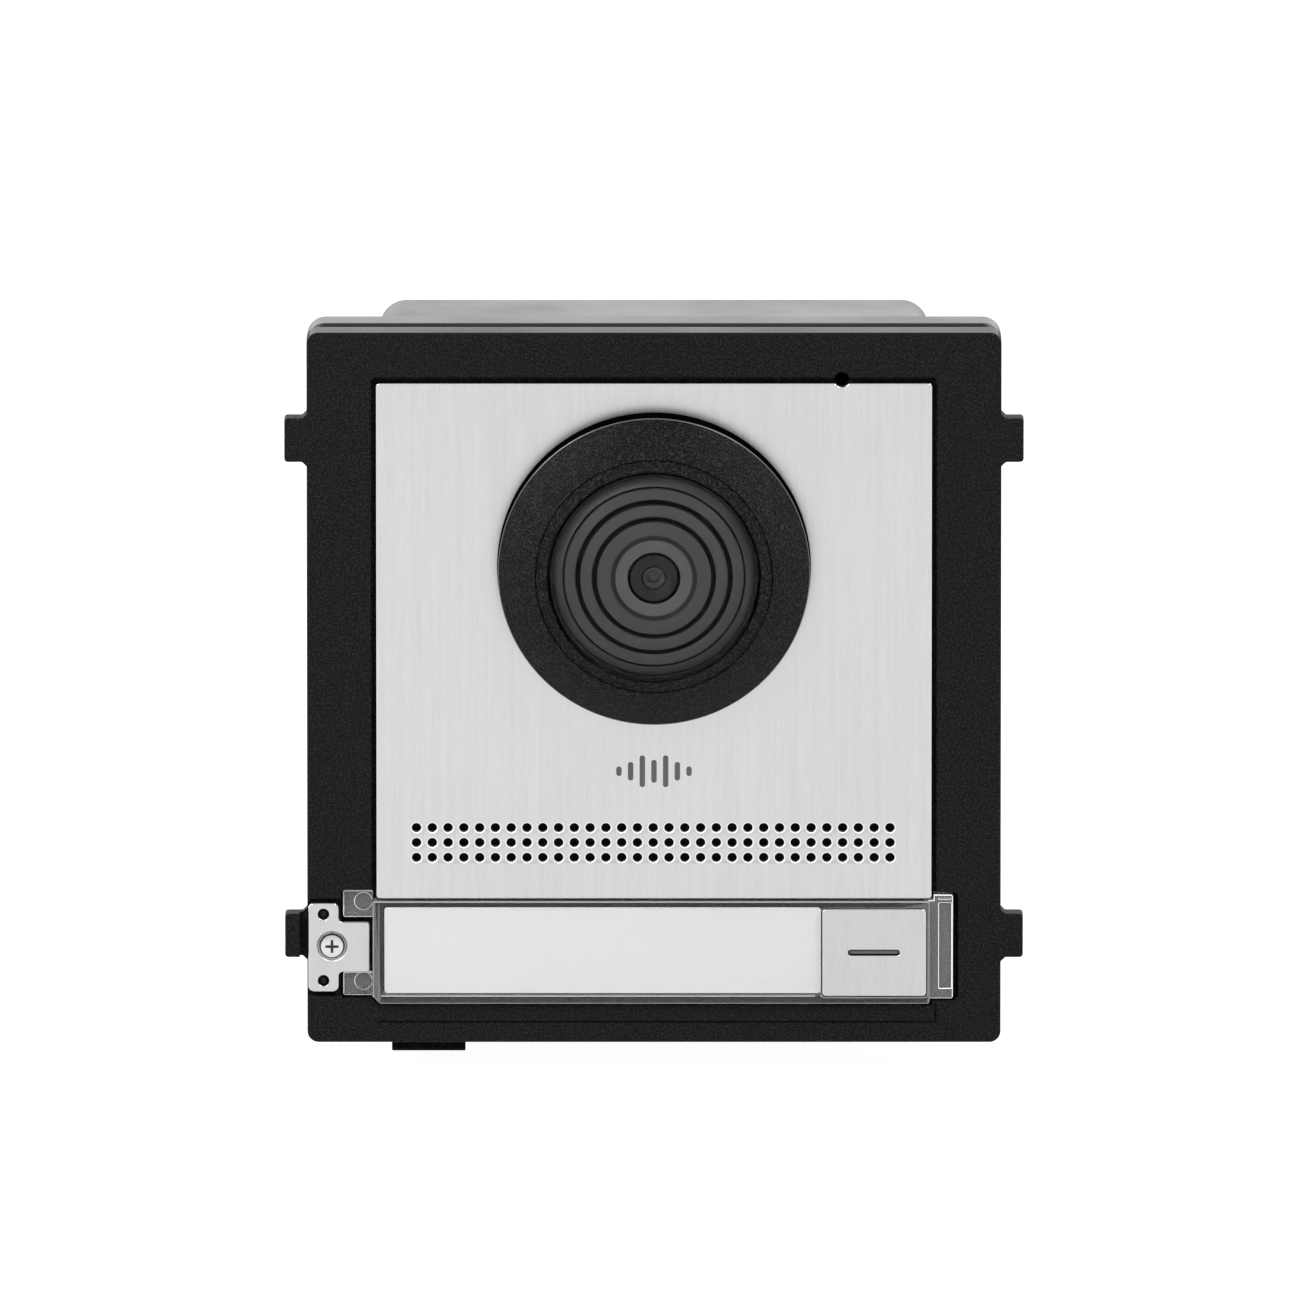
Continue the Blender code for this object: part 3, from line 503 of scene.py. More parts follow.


# The textured blacks carry painted highlights on their grain's high spots and painted shade in its pits;
# the cone's highlights are the strongest.
FRAME_BLACK = textured_plastic("frame_black", (0.0038, 0.0038, 0.0046), 0.45, 0.28, 0.13, 0.13, 3.2)
CONE_BLACK = textured_plastic("cone_black", (0.0022, 0.0022, 0.0024), 0.38, 0.26, 0.20, 0.14, 11.0)
# Painted shade: a near-black copy of the cone plastic with no reflection, for the camera ring's side
# wall.
SIDE_SHADE_BLACK = textured_plastic("side_painted_shade_black", (0.0008, 0.0008, 0.0009), 0.60, 0.30, 0.05, 0.0)
# Painted shade: a darker copy of the frame plastic for the latch.
LATCH_SHADE_BLACK = textured_plastic("latch_painted_shade_black", (0.0025, 0.0025, 0.0028), 0.55, 0.42, 0.08, 0.06)
# Painted shade: black for the steel button slot's walls.
SLOT_SHADE_BLACK = smooth_plastic("slot_painted_shade_black", (0.003, 0.003, 0.0032), 0.22, 0.2)
LIP_BLACK = smooth_plastic("lip_black", (0.004, 0.004, 0.0042), 0.30, 0.14)
# Painted highlight: a light grey band along the camera ring's shoulder edge.
SHOULDER_HIGHLIGHT_GREY = smooth_plastic("shoulder_painted_highlight", (0.080, 0.080, 0.080), 0.30)
HOUSING_BLACK = smooth_plastic("housing_black", (0.012, 0.012, 0.013), 0.25)
CONNECTOR_BLACK = smooth_plastic("connector_black", (0.012, 0.012, 0.013), 0.42)
CHIP_BLACK = smooth_plastic("chip_black", (0.016, 0.016, 0.017), 0.55, 0.3)
LENS_BLACK = smooth_plastic("lens_black", (0.013, 0.013, 0.0135), 0.48, 0.2)
LENS_GREY = smooth_plastic("lens_grey", (0.032, 0.032, 0.033), 0.35, 0.3)
BAFFLE_GREY = soft_matt("baffle_grey", (0.042, 0.042, 0.0425), 0.60, 0.12)
BAFFLE_LIGHT = soft_matt("baffle_light", (0.070, 0.070, 0.071), 0.60, 0.12)
GROOVE_BLACK = soft_matt("groove_black", (0.004, 0.004, 0.004), 0.80)
# Painted shade: matt grey for the steel walls of the speaker holes.
HOLE_SHADE_GREY = soft_matt("hole_wall_painted_shade", (0.20, 0.20, 0.20), 0.60)
PLATE_STEEL = brushed_steel("plate_steel", (0.70, 0.694, 0.688), 0.30, spread=0.11)
BUTTON_STEEL = brushed_steel("button_steel", (0.66, 0.653, 0.655), 0.32, 0.12, 2.0, 0.09)
BRACKET_STEEL = brushed_steel("bracket_steel", (0.66, 0.652, 0.650), 0.38, 0.15, 1.0, 0.06)
# Painted highlight: a bright polished copy of the steel on the edges of the plate, button and bracket.
EDGE_HIGHLIGHT_METAL = plain_metal("edge_painted_highlight", (0.97, 0.97, 0.97), 0.14)
# Painted highlight: a lighter copy of the steel for the speaker holes' countersinks.
HOLE_RIM_HIGHLIGHT = plain_metal("hole_rim_painted_highlight", (0.92, 0.92, 0.915), 0.45)
SCREW_METAL = plain_metal("screw_metal", (0.78, 0.78, 0.77), 0.24)
# Painted shade: dark steel for screw recesses and the floor under the bracket screw's head.
SHADE_METAL = plain_metal("recess_painted_shade", (0.075, 0.075, 0.08), 0.40)
SHIELD_METAL = plain_metal("shield_metal", (0.58, 0.58, 0.58), 0.32)
GOLD = plain_metal("contact_gold", (0.83, 0.62, 0.28), 0.25)
CLEAR_COVER = clear_plastic("clear_cover", (0.95, 0.95, 0.95), 0.03, 1.40)
COVER_RIM = clear_plastic("clear_cover_rim", (0.86, 0.86, 0.87), 0.10, 1.45, 0.92)
# Painted highlight: a hazier, brighter copy of the cover plastic for its bevels.
COVER_EDGE_HIGHLIGHT = clear_plastic("clear_cover_edge_highlight", (0.88, 0.88, 0.88), 0.20, 1.45, 0.68)
# Painted highlight: a nearly opaque, glowing white copy of the cover plastic for the bevels of the ears,
# the lip and the score.
COVER_HIGHLIGHT_GLOW = clear_plastic("clear_cover_painted_highlight", (0.97, 0.97, 0.97), 0.20, 1.45, 0.05, 0.22)
WINDOW_CLEAR = clear_plastic("window_clear", (0.97, 0.97, 0.98), 0.0, 1.08)
LENS_GLASS = clear_plastic("lens_glass", (0.62, 0.66, 0.75), 0.0, 1.5)
# Painted light: the card glows though it is no lamp, and its edges glow brighter.
CARD_WHITE = soft_matt("card_white", (0.90, 0.895, 0.89), 0.65, painted_glow=0.12)
CARD_EDGE_GLOW = soft_matt("card_edge_painted_glow", (0.92, 0.92, 0.92), 0.60, painted_glow=0.25)
MILKY = soft_matt("milky", (0.72, 0.72, 0.71), 0.45)
LIGHT_GREY = soft_matt("light_strip_grey", (0.16, 0.16, 0.165), 0.35)
PRINT_GREY = soft_matt("print_grey", (0.085, 0.085, 0.09), 0.50)
RUBBER = soft_matt("rubber", (0.010, 0.010, 0.0105), 0.80, 0.2)
BOARD = circuit_board("board_green")
TERMINAL_GREEN = smooth_plastic("terminal_green", (0.02, 0.22, 0.08), 0.40)
CLOTH = woven_cloth("speaker_cloth")


# Front frame


FRAME = BOX["front_frame"]
HOUSING = BOX["rear_housing"]
PLATE = BOX["faceplate"]
COVER = BOX["name_cover"]
CARD = BOX["name_card"]
BUTTON = BOX["call_button"]
BRACKET = BOX["retainer_bracket"]
SCREW = BOX["retainer_screw"]
RING = BOX["camera_ring"]
NECK_RADIUS = 19.0
PLATE_FLOOR = PLATE.back + 0.3
STRIP_BACK = COVER.back - 0.9
STRIP_FLOOR = STRIP_BACK + 0.4
MIC = BOX["microphone_capsule"]
HOUSING_SCREWS = [BOX[f"housing_screw_{number}"] for number in range(1, 5)]
BAR_LEFT = CARD.left - 1.55
BAR_RIGHT = BUTTON.right + 0.525
BAR_BOTTOM = COVER.bottom + 0.22
CARD_BOTTOM = CARD.bottom + 0.2
CARD_TOP = CARD.top + 0.12
BAR_TOP = PLATE.bottom - 0.3
EAR_PEG_X = BAR_LEFT - 1.25
EAR_PEGS_Z = (COVER.top - 1.45, COVER.bottom + 2.95)
EARS = ((COVER.top - 3.65, COVER.top), (COVER.bottom + 0.95, COVER.bottom + 4.15))
LIP_TOP = COVER.top - 0.35
LIP_BOTTOM = COVER.bottom + 0.78
PEG_X = BRACKET.left + 2.0
PEGS_Z = (BRACKET.top - 1.5, BRACKET.bottom + 1.5)
LUG_BACK = FRAME.front + 3.2
LUG_HEIGHT = 5.9
LUG_Z = 33.5
LEDGE_BOTTOM = -45.2


def bar_outline(margin, top, corner=0.1):
    """The name strip's outline. Its lower left corner is cut off where it meets the lower ear."""
    left, right, bottom = BAR_LEFT - margin, BAR_RIGHT + margin, BAR_BOTTOM - margin
    corners = [(left + 1.0, bottom), (right, bottom), (right, top), (left, top), (left, bottom + 1.0)]
    return rounded([(x, z, corner) for x, z in corners], 3)


def lug_outline(side, z):
    """One side lug, with its root drawn inside the frame and flared into its edge."""
    edge, tip = side * HOUSING.right, side * FRAME.right
    half, root = LUG_HEIGHT / 2, 0.6
    inside = edge - side * 1.0
    lower = [(inside, -half - root, 0), (edge, -half - root, 0)]
    lower += [(edge + side * root, -half, 0.5), (tip, -half, 0.45)]
    upper = [(x, -v, radius) for x, v, radius in reversed(lower)]
    return rounded([(x, z + v, radius) for x, v, radius in lower + upper], 4)


def front_frame():
    outline = rectangle(HOUSING.left, FRAME.bottom, HOUSING.right, FRAME.top, 1.5, 12)
    body = slab("front_frame_shell", outline, FRAME.front, FRAME.back, 0.35, 0.15)
    lugs = []
    for side in (-1, 1):
        for z in (-LUG_Z, LUG_Z):
            lugs.append(slab("lug", lug_outline(side, z), FRAME.front, LUG_BACK, 0.25, 0.15))
    boolean(body, lugs, "UNION")
    surface, behind = FRAME.front, FRAME.back + 1
    plate = rectangle(PLATE.left - 0.6, PLATE.bottom, PLATE.right + 0.6, PLATE.top + 0.7, 0.6)
    strip = bar_outline(0.3, PLATE.bottom + 0.35)
    ears = rectangle(COVER.left - 0.3, EARS[1][0] - 0.3, BAR_LEFT + 0.3, COVER.top + 0.3, 0.5)
    lip = rectangle(BAR_RIGHT - 0.2, LIP_BOTTOM - 0.3, COVER.right + 0.7, LIP_TOP + 0.4, 0.8)
    line_end = BAR_RIGHT + 0.8
    lines = [rectangle(PLATE.left + 0.1, LEDGE_BOTTOM - 0.11, line_end + 0.1, LEDGE_BOTTOM + 0.11)]
    lines.append(rectangle(line_end - 0.12, LEDGE_BOTTOM - 0.1, line_end + 0.12, LIP_BOTTOM - 0.5))
    floor = BRACKET.back - 0.1
    low, high = BRACKET.bottom - 0.6, BRACKET.top + 0.7
    bracket = rectangle(HOUSING.left - 1, low, BRACKET.left + 4.5, high, 0.5)
    mesh = BOX["speaker_mesh"]
    hollow = rectangle(-39, -26.5, 39, 42.2, 2.0)
    pegs_at = [circle(EAR_PEG_X, z, 1.5, 48) for z in EAR_PEGS_Z]
    screws_at = [circle(screw.x, screw.z, 1.4, 32) for screw in HOUSING_SCREWS]
    cutters = [
        pocket(strip, surface, STRIP_FLOOR, 0.15, 0.1),
        pocket(ears, surface, STRIP_FLOOR - 0.02, 0.14, 0.1),
        pocket(lip, surface, STRIP_FLOOR - 0.04, 0.13, 0.1),
        pocket(plate, surface, PLATE_FLOOR, 0.3, 0.1),
        pocket(circle(MIC.x, MIC.z, 1.0, 48), surface, behind, 0.12, 0),
        *[pocket(line, surface, surface + 0.22, 0.07, 0) for line in lines],
        pocket(bracket, surface, floor, 0.15, 0.1),
        through(circle(SCREW.x, SCREW.z, 2.5, 48), surface - 1, floor + 0.6),
        through(circle(SCREW.x, SCREW.z, 0.9, 32), surface - 1, FRAME.back - 0.6),
        through(circle(RING.x, RING.z, NECK_RADIUS + 0.3), surface - 1, behind),
        through(centred(mesh.x, mesh.z, 65.4, 6.7, 1.0), surface - 1, behind),
        through(centred(BUTTON.x, BUTTON.z, 12.4, 10.6, 0.8), surface - 1, behind),
        through(hollow, PLATE_FLOOR + 1.2, behind),
        *[through(peg, surface - 1, FRAME.back - 0.8) for peg in pegs_at],
        *[through(screw, FRAME.back - 2.5, behind) for screw in screws_at],
    ]
    boolean_each(body, cutters)
    tip, root = BRACKET.front + 0.1, floor + 0.5
    pegs = [slab("peg", circle(PEG_X, z, 0.45, 32), tip, root, 0.15, 0) for z in PEGS_Z]
    boolean(body, pegs, "UNION")
    finish_piece(body, FRAME_BLACK, "frame_textured_black", "front_frame")
    repaint(body, LIP_BLACK, lambda centre, normal: centre.z > FRAME.top - 0.5 and normal.z > 0.5)


# Faceplate


HOLE_COLUMNS = 31
HOLE_ROWS = 3
HOLE_PITCH = (2.095, 2.02)
HOLE_RADIUS = 0.64
COUNTERSINK_WIDTH = 0.15
COUNTERSINK_DEPTH = 0.08
NOTCH_RADIUS = 1.0


def plate_outline():
    """The sheet's outline with the microphone notch in its top edge, eased at both ends."""
    drop = math.asin((MIC.z - PLATE.top) / NOTCH_RADIUS)
    ease = 0.18
    reach = NOTCH_RADIUS * math.cos(drop) + ease
    notch = []
    for k in range(17):
        angle = -drop - (math.pi - 2 * drop) * k / 16
        notch.append((MIC.x + NOTCH_RADIUS * math.cos(angle), MIC.z + NOTCH_RADIUS * math.sin(angle)))
    notch = [(MIC.x + reach, PLATE.top)] + notch[1:-1] + [(MIC.x - reach, PLATE.top)]
    steps = 6
    outline = rectangle(PLATE.left, PLATE.bottom, PLATE.right, PLATE.top, 0.45, steps)
    top_right_end = 3 * (steps + 1)
    return outline[:top_right_end] + notch + outline[top_right_end:]


def faceplate():
    """The brushed sheet. Each speaker hole has a bright countersink in painted highlight and grey walls
    in painted shade, and the sheet's outline edge carries a painted highlight.
    """
    walls = [wall(plate_outline(), PLATE.front, PLATE.back, 0.12, 0)]
    camera = circle(RING.x, RING.z, RING.radius + 0.06)
    walls.append(wall(camera, PLATE.front, PLATE.back, 0.06, 0, -1))
    mesh = BOX["speaker_mesh"]
    slope_end = PLATE.front + COUNTERSINK_DEPTH
    for x in spread(mesh.x, HOLE_COLUMNS, HOLE_PITCH[0]):
        for z in spread(mesh.z, HOLE_ROWS, HOLE_PITCH[1]):
            mouth = circle(x, z, HOLE_RADIUS + COUNTERSINK_WIDTH, 24)
            drill = circle(x, z, HOLE_RADIUS, 24)
            walls.append([(mouth, PLATE.front), (drill, slope_end), (drill, PLATE.back)])
    sheet = finish_piece(shell("faceplate_sheet", walls), PLATE_STEEL, "faceplate_steel", "faceplate")
    left, right = PLATE.left + 0.2, PLATE.right - 0.2
    bottom, top = PLATE.bottom + 0.2, PLATE.top - 0.2

    def on_rim(centre, normal):
        return abs(normal.y) < 0.97 and not (left < centre.x < right and bottom < centre.z < top)

    def speaker_hole(centre):
        return abs(centre.z - mesh.z) < 3.2 and abs(centre.x - mesh.x) < 33

    def in_hole(centre, normal):
        return abs(normal.y) < 0.3 and speaker_hole(centre)

    def on_countersink(centre, normal):
        return 0.3 <= abs(normal.y) < 0.97 and speaker_hole(centre)

    # Painted highlight on the sheet's outline edge.
    repaint(sheet, EDGE_HIGHLIGHT_METAL, on_rim)
    # Painted shade on the holes' walls.
    repaint(sheet, HOLE_SHADE_GREY, in_hole)
    # Painted highlight on each countersink.
    repaint(sheet, HOLE_RIM_HIGHLIGHT, on_countersink)


def printed_mark():
    """A generic sound-wave sign: upright bars with round ends, printed a hair above the steel."""
    heights = (1.3, 2.5, 4.3, 3.1, 4.3, 2.5, 1.3)
    pitch, width = 1.55, 0.72
    centre_z = -11.2
    bars = []
    for x, height in zip(spread(0, len(heights), pitch), heights):
        outline = centred(x, centre_z, width, height, width / 2 - 0.01)
        bars.append(slab("bar", outline, PLATE.front - 0.015, PLATE.front + 0.03, 0, 0))
    mark = bars[0]
    mark.name = "printed_mark"
    boolean(mark, bars[1:], "UNION")
    finish_piece(mark, PRINT_GREY, "baffle_grey")


# Camera


def camera_ring():
    """The textured cone, its matt side wall in painted shade, and the neck that passes through the
    frame.
    """
    outer = RING.radius
    crest, shoulder = RING.front, RING.front + 3.75
    bore = BOX["camera_bezel"].radius
    foot = PLATE.back
    seam = 15.7
    rise = 0.70
    low, high = (outer - 0.12, shoulder - 0.12), (seam + 0.12, crest)
    cone = []
    for t in [k / 10 for k in range(11)]:
        r, y = (a + (b - a) * t for a, b in zip(low, high))
        cone.append((r, y - rise * t * (1 - t)))
    profile = [(outer, foot), (outer, shoulder), (outer - 0.04, shoulder - 0.08)] + cone
    profile += [(seam, crest + 0.12), (seam, crest + 1.9), (bore + 0.3, crest + 2.3)]
    profile += [(bore + 0.3, RING.back), (NECK_RADIUS, RING.back), (NECK_RADIUS, foot)]
    ring = lathe("camera_cone_ring", profile, RING)
    finish_piece(ring, CONE_BLACK, "camera_black", "camera_ring")

    def on_shoulder(centre, normal):
        return reach(centre, RING) > outer - 0.13 and normal.y < -0.1

    def on_side(centre, normal):
        return reach(centre, RING) > outer - 0.03 and normal.y > -0.3

    # Painted highlight along the ring's shoulder edge.
    repaint(ring, SHOULDER_HIGHLIGHT_GREY, on_shoulder)
    # Painted shade on the ring's side wall.
    repaint(ring, SIDE_SHADE_BLACK, on_side)


def camera_bezel():
    box = BOX["camera_bezel"]
    outer, bore = 15.63, 14.1
    step = box.back - 1.2
    foot = box.radius
    profile = [(bore, box.front + 0.25), (bore + 0.1, box.front + 0.06), (bore + 0.3, box.front)]
    profile += [(outer - 0.12, RING.front - 0.06), (outer, RING.front + 0.1), (outer, step)]
    profile += [(foot, step), (foot, box.back), (bore, box.back)]
    bezel = lathe("camera_inner_bezel", profile, box)
    finish_piece(bezel, CONE_BLACK, "camera_black", "camera_bezel")


def window_dome():
    box = BOX["camera_window"]
    radius = box.radius
    rise, thickness = 2.8, 1.0
    dome = (radius**2 + rise**2) / (2 * rise)
    stations = [radius * k / 20 for k in range(21)]
    front = [(r, box.front + dome - math.sqrt(dome**2 - r**2)) for r in stations]
    back = [(r, y + thickness) for r, y in reversed(front)]
    window = lathe("camera_dome", front + back, box)
    finish_piece(window, WINDOW_CLEAR, "window_clear", "camera_window")


def lens_baffle():
    """Grey terraces round the lens with black grooves between them."""
    box = BOX["lens_baffle"]
    # Outer and inner radius, y at each, and how deep the groove inside it goes
    terraces = (
        (13.35, 12.1, -38.9, -39.5, 0.4),
        (11.85, 10.4, -39.7, -39.8, 1.0),
        (9.75, 8.2, -40.2, -40.3, 1.0),
        (7.55, 5.7, -40.6, -40.7, 0.1),
        (5.1, 3.5, -40.8, -40.8, 1.0),
    )
    ease = 0.06
    profile = []
    black_bands = []
    for outer, inner, y_outer, y_inner, groove in terraces:
        if profile:
            black_bands.append((inner_before, outer))
            profile.append((outer, profile[-1][1]))
        profile += [(outer, y_outer + ease), (outer - ease, y_outer), (inner + ease, y_inner)]
        profile += [(inner, y_inner + ease), (inner, y_inner + groove)]
        inner_before = inner
    profile = profile[:-1] + [(3.5, -40.0), (12.3, -37.4), (12.3, box.back)]
    profile += [(13.1, box.back), (13.1, -38.6)]
    piece = lathe("baffle_terraces", profile, box)
    finish_piece(piece, BAFFLE_GREY, "baffle_grey", "lens_baffle")

    def in_groove(centre, normal):
        slack = 0.03 if abs(normal.y) < 0.5 else 0.0
        return any(low - slack < reach(centre, box) < high + slack for high, low in black_bands)

    def in_grey_groove(centre, normal):
        return 5.08 < reach(centre, box) < 5.8 and in_groove(centre, normal)

    repaint(piece, BAFFLE_LIGHT, lambda centre, normal: reach(centre, box) < 5.1)
    repaint(piece, GROOVE_BLACK, in_groove)
    repaint(piece, LENS_BLACK, in_grey_groove)


def lens():
    """The barrel's dark face with rings stepping down to the small front element."""
    box, glass = BOX["lens_barrel"], BOX["lens_front_element"]
    radius = box.radius
    face = box.front + 0.2
    floor = glass.back + 0.35
    profile = [(0, floor), (1.65, floor)]
    profile += levels(face, (1.65, 1.4), (1.5, 1.3), (1.5, 0.5), (1.62, 0.05), (1.72, 0), (radius, 0))
    profile += [(radius, box.back), (0, box.back)]
    barrel = lathe("lens_barrel_face", softened(profile, 0.05), box)
    finish_piece(barrel, LENS_BLACK, "lens_black", "lens_barrel")
    steps = ((0.75, 0.95), (0.82, 0.72), (0.98, 0.66), (1.02, 0.50), (1.2, 0.46), (1.24, 0.30))
    rim = ((1.42, 0.28), (1.46, 0.5), (1.46, 1.5), (0.75, 1.5))
    retainer = levels(face, *steps, *rim)
    rings = lathe("lens_retainer", softened(retainer, 0.03), box, 64)
    finish_piece(rings, LENS_GREY, "lens_black")
    bulge = ((0, 0.80), (0.35, 0.84), (0.72, 1.05), (0.72, 1.6), (1.3, 1.75), (1.3, 2.2), (0, 2.2))
    element = levels(face, *bulge)
    glass_piece = lathe("lens_glass", element, box, 64)
    finish_piece(glass_piece, LENS_GLASS, "lens_glass", "lens_front_element")


# Name strip and button


def lip_outline():
    """The lip's outline, stepped down where it passes the faceplate's corner."""
    inner, beside_plate = BAR_RIGHT - 0.2, PLATE.right + 0.3
    corners = [(inner, LIP_BOTTOM, 0), (COVER.right, LIP_BOTTOM, 0.3), (COVER.right, LIP_TOP, 0.3)]
    corners += [(beside_plate, LIP_TOP, 0), (beside_plate, BAR_TOP, 0), (inner, BAR_TOP, 0)]
    return rounded(corners, 4)


def name_cover():
    """The clear tray with its ears, pegs and lip, in one moulding."""
    cover = slab("clear_name_cover", bar_outline(0.0, BAR_TOP, 0.3), COVER.front, STRIP_BACK, 0.2, 0.05)
    ear_front = BRACKET.back - 0.1
    lip_front = FRAME.front + 0.2
    ears = [rectangle(COVER.left, low, BAR_LEFT + 0.05, high, 0.3, 4) for low, high in EARS]
    added = [slab("ear", ear, ear_front, STRIP_BACK, 0.22, 0.05) for ear in ears]
    added.append(slab("lip", lip_outline(), lip_front, STRIP_BACK + 0.01, 0.18, 0.05))
    pegs_at = [circle(EAR_PEG_X, z, 1.22, 48) for z in EAR_PEGS_Z]
    added += [slab("ear_peg", peg, ear_front - 0.15, COVER.back, 0.12, 0.1) for peg in pegs_at]
    boolean_each(cover, added, "UNION")
    tray = rectangle(CARD.left - 0.3, CARD_BOTTOM - 0.3, CARD.right + 0.4, CARD_TOP + 0.3, 0.15, 2)
    low, high = BUTTON.bottom - 0.15, BUTTON.top + 0.15
    opening = rectangle(BUTTON.left - 0.15, low, BUTTON.right + 0.25, high, 0.5, 4)
    panel = rectangle(BAR_RIGHT + 1.25, LIP_BOTTOM + 1.4, COVER.right - 0.22, LIP_TOP - 1.1, 0.1, 2)
    groove = rectangle(BAR_RIGHT + 1.2, LIP_TOP - 0.62, COVER.right - 0.25, LIP_TOP - 0.45)
    upright, level = CARD.left - 0.75, CARD_BOTTOM - 0.17
    scores = [rectangle(upright - 0.05, BAR_BOTTOM + 0.7, upright + 0.05, BAR_TOP - 0.5)]
    scores.append(rectangle(upright + 0.4, level - 0.05, BUTTON.left - 1, level + 0.05))
    cutters = [
        through(tray, COVER.front + 0.9, COVER.back + 1),
        pocket(opening, COVER.front, COVER.back + 1.2, 0.1, 0),
        pocket(panel, lip_front, lip_front + 0.4, 0.13, 0),
        pocket(groove, lip_front, lip_front + 0.2, 0.06, 0),
        *[pocket(score, COVER.front, COVER.front + 0.12, 0.05, 0) for score in scores],
    ]
    boolean_each(cover, cutters)
    finish_piece(cover, COVER_RIM, "clear_cover", "name_cover")

    def over_card(centre):
        inside_x = CARD.left - 0.35 < centre.x < CARD.right + 0.5
        return inside_x and CARD_BOTTOM - 0.35 < centre.z < CARD_TOP + 0.35

    def bright(centre, normal):
        in_score = abs(centre.z - level) < 0.12 and centre.x < BUTTON.left
        return on_bevel(normal) and (centre.x < BAR_LEFT - 0.1 or centre.x > BAR_RIGHT + 0.1 or in_score)

    repaint(cover, CLEAR_COVER, lambda centre, normal: over_card(centre) and abs(normal.y) > 0.9)
    # Painted highlights on the cover's bevels.
    repaint(cover, COVER_EDGE_HIGHLIGHT, lambda centre, normal: on_bevel(normal))
    # Brighter painted highlights on the bevels of the ears, the lip and the score under the card.
    repaint(cover, COVER_HIGHLIGHT_GLOW, bright)


def name_card():
    """The white card, a hair higher than its CAD block, and longer so that it meets the button."""
    outline = rectangle(CARD.left, CARD_BOTTOM, CARD.right + 0.25, CARD_TOP, 0.4, 4)
    card = slab("card_sheet", outline, CARD.front, CARD.back, 0.14, 0)
    # Painted light: the card glows, and its edges glow brighter.
    finish_piece(card, CARD_WHITE, "card_white", "name_card")
    repaint(card, CARD_EDGE_GLOW, lambda centre, normal: abs(normal.y) < 0.97)


def call_button():
    """The steel cap with a pill-shaped slot, and the grey light bar seen in the slot."""
    slot = centred(BUTTON.x, BUTTON.z, 6.9, 0.8, 0.39, 8)
    outline = rectangle(BUTTON.left, BUTTON.bottom, BUTTON.right + 0.1, BUTTON.top, 0.5, 6)
    cap = slab("button_cap", outline, BUTTON.front, BUTTON.back, 0.15, 0.05, [slot])
    hollow = around(BUTTON, -0.8, 0.3, 4)
    boolean(cap, [through(hollow, BUTTON.front + 1.0, BUTTON.back + 1)])
    finish_piece(cap, BUTTON_STEEL, "button_steel", "call_button", body="call_button")

    def in_slot(centre, normal):
        return abs(centre.x - BUTTON.x) < 3.6 and abs(centre.z - BUTTON.z) < 0.6

    # Painted highlight on the cap's bevels.
    repaint(cap, EDGE_HIGHLIGHT_METAL, lambda centre, normal: on_bevel(normal))
    # Painted shade: the slot's steel walls are black.
    repaint(cap, SLOT_SHADE_BLACK, lambda centre, normal: in_slot(centre, normal) and abs(normal.y) < 0.1)
    strip = BOX["button_light_strip"]
    in_view = centred(BUTTON.x, BUTTON.z, 6.58, 0.48, 0.23, 8)
    bar = slab("button_light_bar", in_view, BUTTON.front + 0.45, strip.front + 0.1, 0.05, 0)
    base_outline = around(strip, 0, 0.3, 4)
    boolean(bar, [slab("light_base", base_outline, strip.front, strip.back, 0.1, 0.1)], "UNION")
    finish_piece(bar, LIGHT_GREY, "light_guide_milky", "button_light_strip", body="call_button")


# Retainer bracket


def retainer_bracket():
    """The stamped T-plate, dished round its screw."""
    left, right = BRACKET.left, BRACKET.right
    bar_right = left + 4.0
    tongue_low, tongue_high = -38.5, -31.8
    corners = [(left, BRACKET.bottom, 0.8), (bar_right, BRACKET.bottom, 0.8)]
    corners += [(bar_right, tongue_low, 0.6), (right, tongue_low, 0.35), (right, tongue_high, 0.35)]
    corners += [(bar_right, tongue_high, 0.6), (bar_right, BRACKET.top, 0.8), (left, BRACKET.top, 0.8)]
    back = BRACKET.front + 0.8
    dish, rim, flat = 0.30, 2.15, 1.72
    walls = [wall(rounded(corners, 6), BRACKET.front, back, 0.12, 0.08)]
    walls += [wall(circle(PEG_X, z, 0.76, 32), BRACKET.front, back, 0.08, 0, -1) for z in PEGS_Z]
    steps = [k / 8 for k in range(9)]
    slopes = [(rim + (flat - rim) * t, dish * (1 - math.cos(math.pi * t)) / 2) for t in steps]
    rings = [(circle(SCREW.x, SCREW.z, radius, 64), BRACKET.front + depth) for radius, depth in slopes]
    behind = ((0.9, BRACKET.front + dish), (0.9, back + dish), (1.75, back + dish), (2.25, back))
    rings += [(circle(SCREW.x, SCREW.z, radius, 64), y) for radius, y in behind]
    walls.append(rings)
    plate = shell("bracket_plate", walls)
    finish_piece(plate, BRACKET_STEEL, "bracket_steel", "retainer_bracket")

    def on_rim(centre, normal):
        return on_bevel(normal) and reach(centre, SCREW) >= 2.6

    def under_head(centre, normal):
        return reach(centre, SCREW) < flat and abs(centre.y - BRACKET.front - dish) < 0.05

    # Painted highlight on the bracket's outer bevels.
    repaint(plate, EDGE_HIGHLIGHT_METAL, on_rim)
    # Painted shade under the screw head.
    repaint(plate, SHADE_METAL, under_head)


